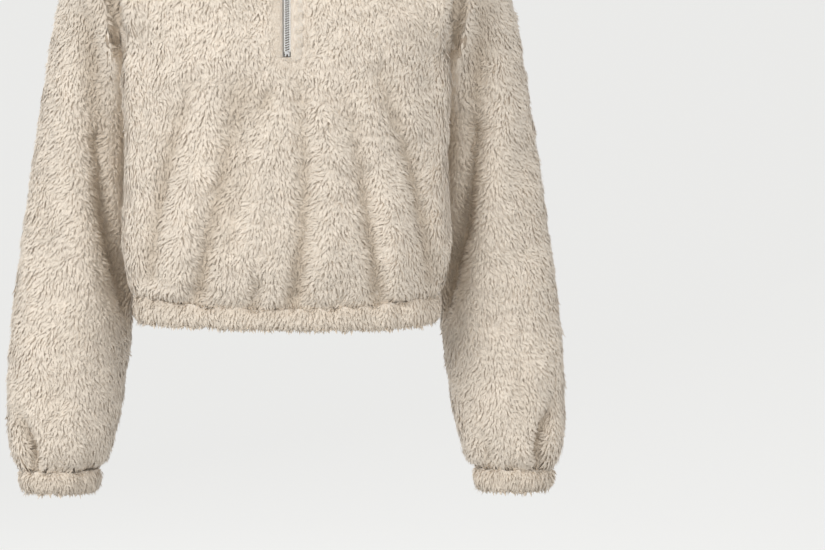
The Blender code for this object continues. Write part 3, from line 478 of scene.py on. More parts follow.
def grow_pile(name, skin, normals, down, seed, density=1.0, calm=0.0, short=1.0, slope=0.0, shade=0.0):
    """Locks of pile over a skin, joined in one mesh. Each is a spindle bent down the cloth."""
    rows, columns = pile_roots(skin, np.broadcast_to(density, skin.shape[:2]), seed)

    def at_roots(values):
        return read_grid(np.broadcast_to(values, skin.shape[:2]), rows, columns)

    rng = np.random.default_rng(seed + 1)
    root = read_grid(skin, rows, columns)
    up = unit(read_grid(normals, rows, columns))
    lay = read_grid(down, rows, columns)
    lay = unit(lay - up * (lay * up).sum(-1, keepdims=True))
    side = np.cross(lay, up)
    wild = 1 - at_roots(calm)
    size = at_roots(short)
    count = len(root)
    turn = SWIRL_SMALL_DEG * ripple(root, SWIRL_SMALL_MM, seed + 2)
    turn += SWIRL_LARGE_DEG * ripple(root, SWIRL_LARGE_MM, seed + 3)
    turn += LOCK_STRAY_DEG * rng.normal(size=count)
    turn = (np.radians(turn * wild) + SIDE_FLOW * at_roots(slope))[:, None]
    forward = lay * np.cos(turn) + side * np.sin(turn)
    beside = np.cross(forward, up)
    rise = LOCK_RISE + LOCK_RISE_SWELL * ripple(root, SWIRL_SMALL_MM, seed + 4)
    rise = np.radians(rise + LOCK_RISE_STRAY * rng.normal(size=count))
    rise = (rise * between(CALM_RISE, 1.0, wild))[:, None]
    tip_rise = np.radians(LOCK_TIP_RISE + LOCK_TIP_STRAY * rng.normal(size=count))
    tip_rise = (tip_rise * between(CALM_RISE, 1.0, wild))[:, None]
    length = LOCK_LENGTH * rng.uniform(*LOCK_LENGTH_RANGE, count) * size
    length = (length * between(CALM_LENGTH, 1.0, wild))[:, None]
    sway = (LOCK_SWAY * rng.normal(size=(2, count)) * wild)[:, :, None]
    wide = (LOCK_WIDTH * rng.uniform(*LOCK_WIDTH_RANGE, count) * np.sqrt(size))[:, None]
    tall = (LOCK_HEIGHT * rng.uniform(*LOCK_HEIGHT_RANGE, count))[:, None]
    start = root - up * ROOT_SUNK
    belly = start + length * LOCK_BELLY * (
        forward * np.cos(rise) + up * np.sin(rise) + beside * sway[0]
    )
    tip = belly + length * (1 - LOCK_BELLY) * (
        forward * np.cos(tip_rise) + up * np.sin(tip_rise) + beside * sway[1] * 2
    )
    crown = unit(up * np.cos(rise) - forward * np.sin(rise))
    mesh = stacked_mesh(name, np.stack([
        start, belly - beside * wide, belly + beside * wide, belly + crown * tall, tip,
    ], axis=1), LOCK_FACES)
    mesh.shade_smooth()
    above = unit(np.stack([
        up, up * LOCK_SHEEN - beside, up * LOCK_SHEEN + beside, crown + up,
        up + forward * LOCK_TIP_SHEEN,
    ], axis=1))
    below = -np.stack([crown, crown + beside, crown - beside, crown, crown], axis=1)
    bends = np.stack([
        (below if i in LOCK_UNDER_FACES else above)[:, face] for i, face in enumerate(LOCK_FACES)
    ], axis=1)
    mesh.normals_split_custom_set(unit(bends).reshape(-1, 3))
    tone = 0.5 + TONE_STRAY * rng.normal(size=count)
    tone = np.clip(tone + TONE_PATCH * ripple(root, SWIRL_SMALL_MM, seed + 5), 0, 1)
    looks = [np.tile(LOCK_ALONG, (count, 1))]
    # Each lock carries its place along it, its own tone, and how much painted shade it has.
    looks += [np.repeat(values[:, None], len(LOCK_ALONG), 1) for values in (tone, at_roots(shade))]
    attribute = mesh.attributes.new("lock", "FLOAT_VECTOR", "POINT")
    attribute.data.foreach_set("vector", np.stack(looks, -1).astype(np.float32).ravel())
    attribute = mesh.attributes.new("across", "FLOAT", "POINT")
    attribute.data.foreach_set("value", np.tile(LOCK_ACROSS, count).astype(np.float32))
    mesh.materials.append(pile_material)
    return add_piece(name, mesh, "garment")


# The front: one panel of the fleece, slit down its middle for the zip, gathered on to the elastic
# hem and pulled into a few long, soft folds. Its sections are those of the solid that it replaces.
TORSO_COLUMNS = ("z", "half_width", "front_y", "side_y", "back_y", "squareness")
TORSO_SECTIONS = [
    (-456, 167.6, -104, -24, 76, 2.3),
    (-447, 172.5, -111, -24, 80, 2.3),
    (-421, 177.5, -119, -25, 85, 2.3),
    (-393, 180, -122, -25, 87, 2.3),
    (-352, 177.5, -121, -23, 87, 2.3),
    (-311, 175.5, -120, -20, 89, 2.36),
    (-260, 174.5, -121, -14, 93, 2.52),
    (-206, 175, -122, -8, 100, 2.75),
]
CHEST = len(TORSO_SECTIONS) - 1
SHOULDER = CHEST + 1
CHEST_ROW = dict(zip(TORSO_COLUMNS, TORSO_SECTIONS[CHEST]))
YOKE_ROUND = 2 / CHEST_ROW["squareness"]
HEM_DROP = {-1: 13.0, 1: 5.0}
NECK_HALF_WIDTH = 74.0
NECK_Y = 6.0
NECK_DROP = {-1: 84.0, 1: 18.0}
NECK_DEPTH = {-1: 82.0, 1: 58.0}
NECK_BEND = 2.3
SWELL_RISE = (1.6, 2.0)
SWELL_POWER = (1.0, 0.5)
SHOULDER_X = 190.0
SHOULDER_Y = 0.0
SHOULDER_Z = -45.0
ARMHOLE_COLUMNS = ("x",)
ARMHOLE_SIDE = [
    (175,), (172.9,), (170.9,), (172.6,), (178,), (182.6,),
    (185.4,), (187.5,), (189,), (189.8,), (190,),
]
ARMHOLE_DEPTH = {-1: 78.0, 1: 68.0}
SLIT_HALF_WIDTH = 6.5
ZIP_FOOT_Z = -216.0
ZIP_FLAT = 20.0
FLAT_FROM_X = 15.0
FOLD_COLUMNS = (
    "top_x", "top_z", "mid_x", "mid_z", "low_x", "low_z",
    "top_depth", "mid_depth", "low_depth", "reach",
)
FRONT_FOLDS = [
    (11, -215, 20, -345, 6, -474, 3, 6.5, 10, 12),
    (62, -245, 86, -360, 101, -470, 2, 7.5, 10, 12),
    (101, -222, 138, -335, 157, -440, 3.5, 7.5, 5, 12),
    (-31, -418, -33, -446, -38, -474, 0.5, 5, 8, 8),
    (-10, -220, -18, -243, -27, -264, 1.5, 3.4, 1, 10),
    (-58, -236, -64, -320, -61, -402, 3.5, 3.8, 1.2, 15),
    (-36, -226, -42, -250, -50, -290, 2.5, 3.4, 1, 15),
    (62, -447, 54, -462, 45, -478, 1, 2.6, 3, 9),
    (-66, -300, -84, -385, -96, -470, 1.5, 6.5, 9, 12),
    (-104, -232, -132, -330, -149, -432, 3, 6.5, 5, 13),
    (-18, -270, -28, -339, -46, -400, -1.5, -2, -1.5, 15),
    (-22, -249, -43, -330, -58, -408, 1.5, 2.8, 2, 10),
    (40, -275, 46, -350, 42, -430, -2, -4.5, -3, 18),
    (96, -318, 110, -388, 118, -452, -1.5, -4, -4, 14),
    (165, -150, 167, -235, 166, -330, -5, -6.5, -4, 10),
    (-165, -150, -167, -235, -166, -330, -5, -6.5, -4, 10),
    (-100, -322, -110, -390, -120, -450, -1.5, -3.5, -4, 14),
]
FOLD_FADE = 22.0
# The fold depth at which the painted shade on the body is full.
FOLD_SHADE_MM = 7.5
ARMPIT_Z = -228.0
ARMPIT_REACH = 50.0
BODY_FILL = 1.3
BODY_FILL_FROM = 0.8
BODY_FILL_FADE = 0.15
CREASE_DEPTH = 14.0
CREASE_EDGE_X = 173.6
CREASE_EDGE_REACH = (-6.0, 3.0)
CREASE_STEEP = 7.0
CREASE_REACH = 36.0
CREASE_LOW_Z = -205.0
CREASE_LOW_FADE = 18.0
CREASE_HIGH_Z = -58.0
CREASE_HIGH_FADE = 40.0
SEAM_CLOSE = 9.0
SIDE_SEAM_FADE = 0.12
SHOULDER_SEAM_FADE = 0.3
HEM_SEAM_FADE = 1.2
HEM_SEAM_SHARE = 0.45
LUMP_MM = 34.0
LUMP_DEPTH = 0.35
LUMP_SEED = 5
BODY_ROWS = 98
YOKE_ROWS = 66
SIDE_COLUMNS = 70
SLIT_COLUMNS = 5
CHEST_EASE = 26.0
CHEST_BLUR = 7.0
EASE_STEP = 0.5
EASE_SPAN = 60
YOKE_TOP = 0.9999
YOKE_START = 0.02
FRONT_CUT = (0.56, 0.47)
FRONT_SEED = 11
EDGE_WIDTH = (4.6, 11.0)
EDGE_CUT_BACK = 4.4
EDGE_CALM = 9.0
FOOT_NARROWING = 0.85
EDGE_LAP = 1.0
ZIP_SHORT = 0.6
# Painted shade on the short, calm locks beside the zip, which cast too little shade of their own.
ZIP_SHADE = 0.55


def along(table, columns, place):
    """Values at places between a table's rows, on smooth curves through them."""
    rows = np.array(table)
    place = np.asarray(place, float)
    first = np.clip(place.astype(int), 0, len(rows) - 2)
    t = (place - first)[..., None]
    a, b = rows[np.maximum(first - 1, 0)], rows[first]
    c, d = rows[first + 1], rows[np.minimum(first + 2, len(rows) - 1)]
    lift = (c - a) * t + (2 * a - 5 * b + 4 * c - d) * t**2 + (3 * b - a - 3 * c + d) * t**3
    value = b + 0.5 * lift
    return {name: value[..., i] for i, name in enumerate(columns)}


def armhole_x(rise):
    place = np.arccos(np.clip(1 - 2 * rise, -1, 1)) / math.pi * (len(ARMHOLE_SIDE) - 1)
    return along(ARMHOLE_SIDE, ARMHOLE_COLUMNS, place)["x"]


def middle_y(rise):
    return between(CHEST_ROW["side_y"], SHOULDER_Y, rise)


def armhole_y(face, rise):
    reach = np.sqrt(np.clip(1 - (2 * rise - 1) ** 2, 0, 1))
    return middle_y(rise) + face * ARMHOLE_DEPTH[face] * reach


def yoke_swell(x, rise):
    part = smooth(x / NECK_HALF_WIDTH)
    return np.clip(1 - rise ** between(*SWELL_RISE, part), 0, 1) ** between(*SWELL_POWER, part)


def full_depth(face, rise):
    return CHEST_ROW["front_y" if face < 0 else "back_y"] - middle_y(rise)


def end_angle(face, rise):
    rise = np.minimum(rise, YOKE_TOP)
    full_y = SHOULDER_Y + (armhole_y(face, rise) - SHOULDER_Y) / yoke_swell(SHOULDER_X, rise)
    share = np.clip((full_y - middle_y(rise)) / full_depth(face, rise), 0, 1)
    return np.arccos(share ** (1 / YOKE_ROUND))


def yoke_half_width(face, rise):
    return armhole_x(rise) / np.sin(end_angle(face, rise)) ** YOKE_ROUND


def neck_part(x):
    return np.sqrt(np.clip(1 - (x / NECK_HALF_WIDTH) ** 2, 0, 1))


def top_y(face, x):
    out = between(NECK_Y, SHOULDER_Y, (x - NECK_HALF_WIDTH) / (SHOULDER_X - NECK_HALF_WIDTH))
    return np.where(x < NECK_HALF_WIDTH, NECK_Y + face * NECK_DEPTH[face] * neck_part(x), out)


def top_z(face, x):
    out = SHOULDER_Z * (x - NECK_HALF_WIDTH) / (SHOULDER_X - NECK_HALF_WIDTH)
    return np.where(x < NECK_HALF_WIDTH, -NECK_DROP[face] * neck_part(x) ** NECK_BEND, out)


def torso_surface(face, part, station):
    """The torso's outside at shares of the way round and at stations from hem to shoulder."""
    row = along(TORSO_SECTIONS, TORSO_COLUMNS, np.minimum(station, CHEST))
    angle = part * math.pi / 2
    power = 2 / row["squareness"]
    depth = row["front_y" if face < 0 else "back_y"] - row["side_y"]
    ahead = np.clip(np.cos(angle), 0, 1)
    low, high = TORSO_SECTIONS[0][0], CHEST_ROW["z"]
    drop = HEM_DROP[face] * ahead**2 * (high - row["z"]) / (high - low)
    x = row["half_width"] * np.sin(angle) ** power
    body = np.stack([x, row["side_y"] + depth * ahead**power, row["z"] - drop], -1)
    rise = np.clip(station - CHEST, 0, 1)
    turn = part * end_angle(face, rise)
    edge_x = yoke_half_width(face, 1.0) * np.sin(part * end_angle(face, 1.0)) ** YOKE_ROUND
    full_y = middle_y(rise) + full_depth(face, rise) * np.cos(turn) ** YOKE_ROUND
    upper = top_y(face, edge_x)
    yoke = np.stack([
        yoke_half_width(face, rise) * np.sin(turn) ** YOKE_ROUND,
        upper + (full_y - upper) * yoke_swell(edge_x, rise),
        between(high, top_z(face, edge_x), rise),
    ], -1)
    return np.where((station <= CHEST)[..., None], body, yoke)


def part_at(face, x, station):
    """The share of the way round at which a distance from the centre lies."""
    row = along(TORSO_SECTIONS, TORSO_COLUMNS, np.minimum(station, CHEST))
    body = np.arcsin((x / row["half_width"]) ** (row["squareness"] / 2)) / (math.pi / 2)
    rise = np.clip(station - CHEST, 0, 1)
    yoke = np.arcsin((x / yoke_half_width(face, rise)) ** (1 / YOKE_ROUND)) / end_angle(face, rise)
    return np.where(station <= CHEST, body, yoke)


def fold_depth(table, x, z, lower=0.0):
    """How far the folds that pass a place press the cloth in."""
    depth = np.zeros(np.shape(x))
    for row in table:
        fold = dict(zip(FOLD_COLUMNS, row))
        top_z, mid_z, low_z = (fold[name] - lower for name in ("top_z", "mid_z", "low_z"))
        length = top_z - low_z
        beyond = np.maximum(np.maximum(z - top_z, low_z - z), 0)
        down = np.clip((top_z - z) / length, 0, 1)
        bend = (top_z - mid_z) / length
        centre = (
            fold["top_x"] * (down - bend) * (down - 1) / bend
            + fold["mid_x"] * down * (1 - down) / (bend * (1 - bend))
            + fold["low_x"] * down * (down - bend) / (1 - bend)
        )
        deep = np.interp(
            down, (0, bend, 1), (fold["top_depth"], fold["mid_depth"], fold["low_depth"])
        )
        away = (x - centre) / fold["reach"]
        depth = depth + deep * smooth(1 - beyond / FOLD_FADE) * np.exp(-away * away)
    return depth


def armpit_fill(z, facing):
    """How far the pile stands fuller where the body and the sleeve press together."""
    return smooth(facing) * smooth(1 - abs(z - ARMPIT_Z) / ARMPIT_REACH)


def armhole_crease(z, past_seam):
    """How far back the cloth lies along the armhole, under the fuller edge of the body."""
    rise = np.clip((z - CHEST_ROW["z"]) / (SHOULDER_Z - CHEST_ROW["z"]), 0, 1)
    edge = np.clip(CREASE_EDGE_X - armhole_x(rise), *CREASE_EDGE_REACH)
    deep = CREASE_DEPTH * smooth((CREASE_HIGH_Z - z) / CREASE_HIGH_FADE)
    deep = deep * smooth((z - CREASE_LOW_Z) / CREASE_LOW_FADE)
    away = smooth((CREASE_REACH - past_seam) / (CREASE_REACH - CREASE_STEEP))
    return deep * smooth(0.5 + (past_seam - edge) / CREASE_STEEP) * away


def torso_stations():
    heights = np.linspace(TORSO_SECTIONS[0][0], CHEST_ROW["z"], BODY_ROWS)
    body = np.interp(heights, [row[0] for row in TORSO_SECTIONS], range(len(TORSO_SECTIONS)))
    yoke = CHEST + (1 - np.cos(np.linspace(0, math.pi, YOKE_ROWS))) / 2
    return np.concatenate([body, yoke[1:]])


def ease(points, middle, reach, blur):
    """Rounds off any crease of a grid near a height, column by column."""
    heights = np.arange(middle - 2 * reach, middle + 2 * reach, EASE_STEP)
    weights = np.exp(-0.5 * (np.arange(-EASE_SPAN, EASE_SPAN + 1) * EASE_STEP / blur) ** 2)
    weights /= weights.sum()
    eased = points.copy()
    for c in range(points.shape[1]):
        z = points[:, c, 2]
        share = smooth((reach - abs(z - middle)) / (reach / 2))
        for i in (0, 1):
            line = np.interp(heights, z, points[:, c, i])
            line = np.convolve(np.pad(line, EASE_SPAN, mode="edge"), weights, mode="valid")
            eased[:, c, i] = between(points[:, c, i], np.interp(z, heights, line), share)
    return eased


def torso_panel(face, folds, slit):
    """A panel's outside without and with its folds, and what its cloth and its pile need."""
    stations = torso_stations()
    shares = np.linspace(0, 1, SIDE_COLUMNS)
    start = part_at(face, slit, stations) if slit else np.zeros(len(stations))
    station = stations[:, None] * np.ones(SIDE_COLUMNS)
    half_part = start[:, None] + (1 - start[:, None]) * shares
    half = torso_surface(face, half_part, station)
    if slit:
        half[:, 0, 0] = slit
    mirrored = half[:, ::-1] * (-1, 1, 1)
    if slit:
        middle_shares = np.linspace(-1, 1, SLIT_COLUMNS + 2)[1:-1]
        middle_part = start[:, None] * abs(middle_shares)
        middle = torso_surface(face, middle_part, stations[:, None] * np.ones(SLIT_COLUMNS))
        middle[..., 0] = slit * middle_shares
        plain = np.concatenate([mirrored, middle, half], axis=1)
        part = np.concatenate([half_part[:, ::-1], middle_part, half_part], axis=1)
    else:
        plain = np.concatenate([mirrored, half[:, 1:]], axis=1)
        part = np.concatenate([half_part[:, ::-1], half_part[:, 1:]], axis=1)
    station = stations[:, None] * np.ones(plain.shape[1])
    plain = ease(plain, CHEST_ROW["z"], CHEST_EASE, CHEST_BLUR)
    normals = turned(grid_normals(plain), (0, face, 0))
    fade = smooth((1 - part) / SIDE_SEAM_FADE) * smooth((SHOULDER - station) / SHOULDER_SEAM_FADE)
    fade *= between(HEM_SEAM_SHARE, 1.0, smooth(station / HEM_SEAM_FADE))
    if face < 0:
        beside = smooth((abs(plain[..., 0]) - FLAT_FROM_X) / ZIP_FLAT)
        fade *= np.maximum(beside, smooth((ZIP_FOOT_Z - plain[..., 2]) / ZIP_FLAT))
    press = fold_depth(folds, plain[..., 0], plain[..., 2])
    lumps = LUMP_DEPTH * ripple(plain, LUMP_MM, LUMP_SEED - face)
    push_way = normals.copy()
    push_way[0, :, 2] = 0.0
    folded = plain - unit(push_way) * ((press + lumps) * fade)[..., None]
    steps = np.linalg.norm(np.diff(plain, axis=1), axis=-1)
    run = np.concatenate([np.zeros((len(steps), 1)), np.cumsum(steps, axis=1)], axis=1)
    from_seam = np.minimum(run, run[:, -1:] - run)
    on_yoke = smooth((station - CHEST) / YOKE_START)
    crease = armhole_crease(plain[..., 2], -from_seam) * on_yoke * (face < 0)
    folded[..., 1] += crease
    folded_normals = turned(grid_normals(folded), (0, face, 0))
    down = falling(folded_normals)
    depth = PILE_DEPTH * between(1.0, smooth(from_seam / SEAM_CLOSE), on_yoke)
    fill = armpit_fill(plain[..., 2], (part - BODY_FILL_FROM) / BODY_FILL_FADE)
    return {
        "plain": plain, "outer": folded, "normals": folded_normals, "down": down,
        "slope": (folded_normals * np.cross(down, normals)).sum(-1),
        "skin": folded - folded_normals * (depth * (1 - BODY_FILL * fill))[..., None],
        # Painted shade on the locks, fuller the deeper the folds and the armhole crease press in.
        "shade": smooth((press * fade + crease) / FOLD_SHADE_MM),
    }


def edge_flatness(x):
    return smooth((x / SLIT_HALF_WIDTH + 1) / 2)


def edge_width_at(x, under):
    """How wide the turned edge is: broad on the left, narrow on the right and under the foot."""
    narrower = 1 - FOOT_NARROWING * smooth(under / (math.pi / 2))
    return between(*EDGE_WIDTH, edge_flatness(x) * narrower)


front = torso_panel(-1, FRONT_FOLDS, SLIT_HALF_WIDTH)
past_side = np.maximum(abs(front["plain"][..., 0]) - SLIT_HALF_WIDTH, 0)
below_foot = np.maximum(CHEST_ROW["z"] - front["plain"][..., 2], 0)
from_slit = np.hypot(past_side, below_foot)
under_foot = np.arctan2(below_foot, past_side)
edge_width = edge_width_at(front["plain"][..., 0], under_foot)
front_cloth = make_ground(
    "front_cloth", front["skin"], front["normals"], GROUND_STEP, FRONT_CUT,
    hole=from_slit <= EDGE_CUT_BACK,
)
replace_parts(front_cloth, "front")
beside_zip = smooth((from_slit - edge_width) / EDGE_CALM)
# The front's locks carry painted shade in the folds and the armhole crease, and beside the zip.
front_pile = grow_pile(
    "front_pile", front["skin"], front["normals"], front["down"], FRONT_SEED,
    density=np.where(from_slit < edge_width - EDGE_LAP, 0.0, 1.0), calm=1 - beside_zip,
    short=between(ZIP_SHORT, 1.0, beside_zip), slope=front["slope"],
    shade=np.maximum(front["shade"], ZIP_SHADE * (1 - beside_zip)),
)

# The back: one panel of the same fleece with no slit, sewn to the front at the sides and along
# the shoulders. It is built on the same sections, and its folds are like those of the front.
BACK_FOLDS = [
    (-12, -300, -6, -385, -14, -462, 1, 4, 6.5, 14),
    (52, -262, 66, -365, 74, -462, 1, 4.5, 6, 14),
    (-48, -330, -66, -400, -70, -462, 1, 3.5, 5.5, 12),
    (112, -226, 126, -330, 140, -450, 2, 4.5, 4.5, 14),
    (-108, -240, -124, -345, -138, -450, 2, 5, 4, 14),
    (30, -320, 32, -390, 30, -445, -1, -3.5, -2.5, 17),
    (-100, -330, -98, -390, -102, -445, -1, -3, -3, 15),
    (96, -330, 100, -395, 108, -450, -1, -3, -3, 14),
    (0, -60, 0, -85, 0, -110, 1, 2, 1, 40),
]
BACK_CUT = (0.52, 0.48)
BACK_SEED = 41
BACK_DENSITY = 0.86

back = torso_panel(1, BACK_FOLDS, 0.0)
back_cloth = make_ground("back_cloth", back["skin"], back["normals"], GROUND_STEP, BACK_CUT)
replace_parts(back_cloth, "back")
# The back's locks carry painted shade in its folds.
back_pile = grow_pile(
    "back_pile", back["skin"], back["normals"], back["down"], BACK_SEED,
    slope=back["slope"], shade=back["shade"], density=BACK_DENSITY,
)

# The sleeves: one full panel each, closed under the arm, hanging from a dropped armhole in folds
# that start at the armpit, and gathered on to the elastic of the cuff.
SLEEVE_COLUMNS = ("outer_x", "outer_z", "inner_x", "inner_z", "mid_y", "half_depth")
SLEEVE_SECTIONS = [
    (190, -45, 175, -206, -9, 73),
    (212, -62, 180, -223, 1, 73),
    (233, -92, 178.5, -242, 15, 70),
    (246.5, -128, 173.5, -263, 28, 65),
    (256.5, -166, 169.5, -290, 38, 62),
    (264, -208, 167.5, -325, 44, 60),
    (270.5, -248, 167, -358, 47, 60),
    (277.5, -290, 167.5, -392, 49, 60),
    (284, -334, 168.5, -428, 49, 60),
    (291, -385, 169.5, -463, 49, 60),
    (297.5, -432, 171, -495, 48, 60),
    (303.5, -480, 174, -525, 46, 60),
    (307.5, -525, 178, -556, 43, 60),
    (309.3, -563, 182, -583, 40, 59),
    (309, -600, 187.5, -610, 37, 58),
    (307, -626, 193, -631, 35, 55),
    (303, -642, 199, -645, 34, 49),
    (297, -652.4, 208, -652.4, 33, 41),
]
CUFF_SEAM = len(SLEEVE_SECTIONS) - 1
SLEEVE_FRONT_FOLDS = [
    (216, -140, 213, -205, 206, -278, 5, 8, 5.5, 16),
    (207, -280, 194, -372, 168, -474, 6, 15, 10, 11),
    (206, -128, 196, -142, 187, -158, 1.5, 2.5, 1, 6),
    (243, -215, 233, -318, 213, -448, -2.5, -4.5, -3, 17),
    (266, -230, 262, -330, 258, -430, 1, 2.2, 1, 14),
    (248, -520, 255, -560, 262, -600, 1, 3, 2, 16),
    (293, -582, 281, -616, 279, -656, 5, 15, 9, 9),
    (213, -606, 218, -632, 223, -656, 1, 4.5, 5, 8),
    (246, -616, 246, -636, 247, -656, 0.5, 2.5, 3.5, 8),
]
SLEEVE_BACK_FOLDS = [
    (214, -150, 206, -205, 196, -262, 2.5, 4.5, 3, 11),
    (250, -250, 236, -345, 232, -440, 1.5, 4.5, 2, 14),
    (226, -300, 214, -390, 206, -470, -1.5, -3.5, -2, 15),
    (224, -596, 231, -625, 230, -656, 2, 7, 5.5, 10),
    (276, -600, 268, -630, 266, -656, 1, 5, 5, 9),
    (250, -470, 257, -520, 252, -575, 1, 3.5, 1.5, 15),
]
SLEEVE_SIDE_COLUMNS = ("side", "folds_lower", "seed")
SLEEVE_SIDES = {"left": (1, 0.0, 71), "right": (-1, 12.0, 101)}
SLEEVE_SEAM_FADE = 1.5
CUFF_SEAM_SHARE = 0.5
SLEEVE_EDGE_FADE = 0.5
SLEEVE_SAMPLES = 400
SLEEVE_ROWS = 225
SLEEVE_COLUMNS_ROUND = 141
SLEEVE_STEP = 3
SLEEVE_CUT = (0.40, 0.60)
SIDE_PARTING = 0.2
SLEEVE_INNER_DEPTH = 3.6
SLEEVE_OUTER_DEPTH = 0.9
SLEEVE_FILL = 3.6
SLEEVE_FILL_FROM = 0.55
SLEEVE_FILL_FADE = 0.3
SLEEVE_CREASE_FADE = 0.3
SLEEVE_LUMP_SEED = 8
# The fold depth at which the painted shade on the sleeves is full.
SLEEVE_SHADE_MM = 9.0
SLEEVE_DENSITY = 0.9
SEAM_DENSITY = 1.5
SEAM_DENSITY_MM = (22.0, 14.0)


def sleeve_ring(row, angle):
    outer = np.stack([row["outer_x"], row["mid_y"], row["outer_z"]], -1)
    inner = np.stack([row["inner_x"], row["mid_y"], row["inner_z"]], -1)
    depth = np.zeros(outer.shape)
    depth[..., 1] = -row["half_depth"] * np.sin(angle)
    return (outer + inner) / 2 + (outer - inner) / 2 * np.cos(angle)[..., None] + depth


def sleeve_surface(angle, place):
    point = sleeve_ring(along(SLEEVE_SECTIONS, SLEEVE_COLUMNS, place), angle)
    rise = (1 + np.cos(angle)) / 2
    edge_y = np.where(np.sin(angle) >= 0, armhole_y(-1, rise), armhole_y(1, rise))
    edge = np.stack([armhole_x(rise), edge_y, between(CHEST_ROW["z"], SHOULDER_Z, rise)], -1)
    plain = sleeve_ring(along(SLEEVE_SECTIONS, SLEEVE_COLUMNS, place * 0), angle)
    return point + (edge - plain) * (np.clip(1 - place, 0, 1) ** 2)[..., None]


def sleeve_panel(side, lower):
    line = np.linspace(0, CUFF_SEAM, SLEEVE_SAMPLES)
    ends = sleeve_surface(np.full(SLEEVE_SAMPLES, math.pi / 2), line)
    length = np.concatenate([[0], np.cumsum(np.linalg.norm(np.diff(ends, axis=0), axis=1))])
    places = np.interp(np.linspace(0, length[-1], SLEEVE_ROWS), length, line)
    angles = np.linspace(0, 2 * math.pi, SLEEVE_COLUMNS_ROUND)
    place = places[:, None] * np.ones(len(angles))
    angle = angles[None, :] * np.ones(len(places))[:, None]
    plain = sleeve_surface(angle, place)
    axis = plain[:, :-1].mean(axis=1, keepdims=True)
    normals = turned(grid_normals(plain, closed=True), plain - axis)
    facing = smooth(abs(np.sin(angle)) / SLEEVE_EDGE_FADE) * smooth(place / SLEEVE_SEAM_FADE)
    facing *= between(CUFF_SEAM_SHARE, 1.0, smooth((CUFF_SEAM - place) / SLEEVE_SEAM_FADE))
    press = np.where(
        np.sin(angle) > 0,
        fold_depth(SLEEVE_FRONT_FOLDS, plain[..., 0], plain[..., 2], lower),
        fold_depth(SLEEVE_BACK_FOLDS, plain[..., 0], plain[..., 2], lower),
    )
    lumps = LUMP_DEPTH * ripple(plain, LUMP_MM, SLEEVE_LUMP_SEED + side)
    lumps *= smooth(place / SLEEVE_SEAM_FADE)
    folded = plain - normals * (press * facing + lumps)[..., None]
    steps = np.linalg.norm(np.diff(plain, axis=0), axis=-1)
    from_seam = np.concatenate([np.zeros((1, len(angles))), np.cumsum(steps, axis=0)], axis=0)
    crease = armhole_crease(plain[..., 2], from_seam)
    crease = crease * smooth(np.sin(angle) / SLEEVE_CREASE_FADE)
    folded[..., 1] += crease
    folded[:, -1] = folded[:, 0]
    folded_normals = turned(grid_normals(folded, closed=True), folded - axis)
    down = unit(np.gradient(folded, axis=0))
    slope = (folded_normals * np.cross(down, normals)).sum(-1) - SIDE_PARTING * np.sin(2 * angle)
    depth = between(SLEEVE_INNER_DEPTH, SLEEVE_OUTER_DEPTH, (1 + np.cos(angle)) / 2)
    depth = depth * smooth(from_seam / SEAM_CLOSE)
    inside = (-np.cos(angle) - SLEEVE_FILL_FROM) / SLEEVE_FILL_FADE
    fill = armpit_fill(plain[..., 2], inside)
    near_seam = smooth((SEAM_DENSITY_MM[0] - from_seam) / SEAM_DENSITY_MM[1])
    mirror = np.array([side, 1, 1])
    return {
        "normals": folded_normals * mirror, "down": down * mirror, "slope": slope * side,
        "skin": (folded - folded_normals * (depth * (1 - SLEEVE_FILL * fill))[..., None]) * mirror,
        # Painted shade on the locks, fuller the deeper the folds and the armhole crease press in.
        "shade": smooth((press * facing + crease) / SLEEVE_SHADE_MM),
        "density": SLEEVE_DENSITY * (1 + SEAM_DENSITY * near_seam),
    }


sleeve_pieces = {}
for name, row in SLEEVE_SIDES.items():
    facts = dict(zip(SLEEVE_SIDE_COLUMNS, row))
    sleeve = sleeve_panel(facts["side"], facts["folds_lower"])
    cloth = make_ground(
        f"sleeve_{name}_cloth", sleeve["skin"], sleeve["normals"], SLEEVE_STEP, SLEEVE_CUT,
        closed=True,
    )
    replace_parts(cloth, f"sleeve_{name}")
    pile = grow_pile(f"sleeve_{name}_pile", seed=facts["seed"], **sleeve)
    sleeve_pieces[name] = [cloth, pile]

# The hem casing: a strip of the same fleece folded round elastic and sewn to the hem, so its pile
# shows outside, round the bottom and inside. The elastic draws it into small uneven gathers.
CASING_COLUMNS = ("inward", "down")
CASING_OUTLINE = [
    (2.2, 0), (0.2, 0.20), (0, 0.52), (1, 0.80), (4.2, 0.97),
    (8.6, 1), (12.2, 0.80), (12.6, 0.25), (10.4, 0),
]
CASING_GAP = 0.45
HEM_BAND_DEPTH = 28.8
HEM_SIDE_DROP = 3.6
HEM_MIDDLE_RISE = 4.0
HEM_TILT = 2.6
HEM_BAND_SWELL = 1.4
HEM_GATHER_MM = 17.0
HEM_GATHER_DEPTH = 1.1
HEM_COLUMNS = 521
CASING_ROWS = 41
CASING_TURN_UNDER = 0.35
CASING_GATHER_FADE = 0.5
CASING_SHORT = (0.7, 0.9)
CASING_SHORT_SHARE = 0.12
# How far down from its seam a casing's extra painted shade reaches, as a share of its depth.
CASING_SHADE_SHARE = 0.4
CASING_CALM = 0.4
HEM_CUT = (1.1, 0.06)
HEM_SEEDS = (131, 135)
HEM_DENSITY = 0.85
# Painted shade on the hem's locks: a share all over, and a further share at its seam.
HEM_SHADE = (0.18, 0.25)


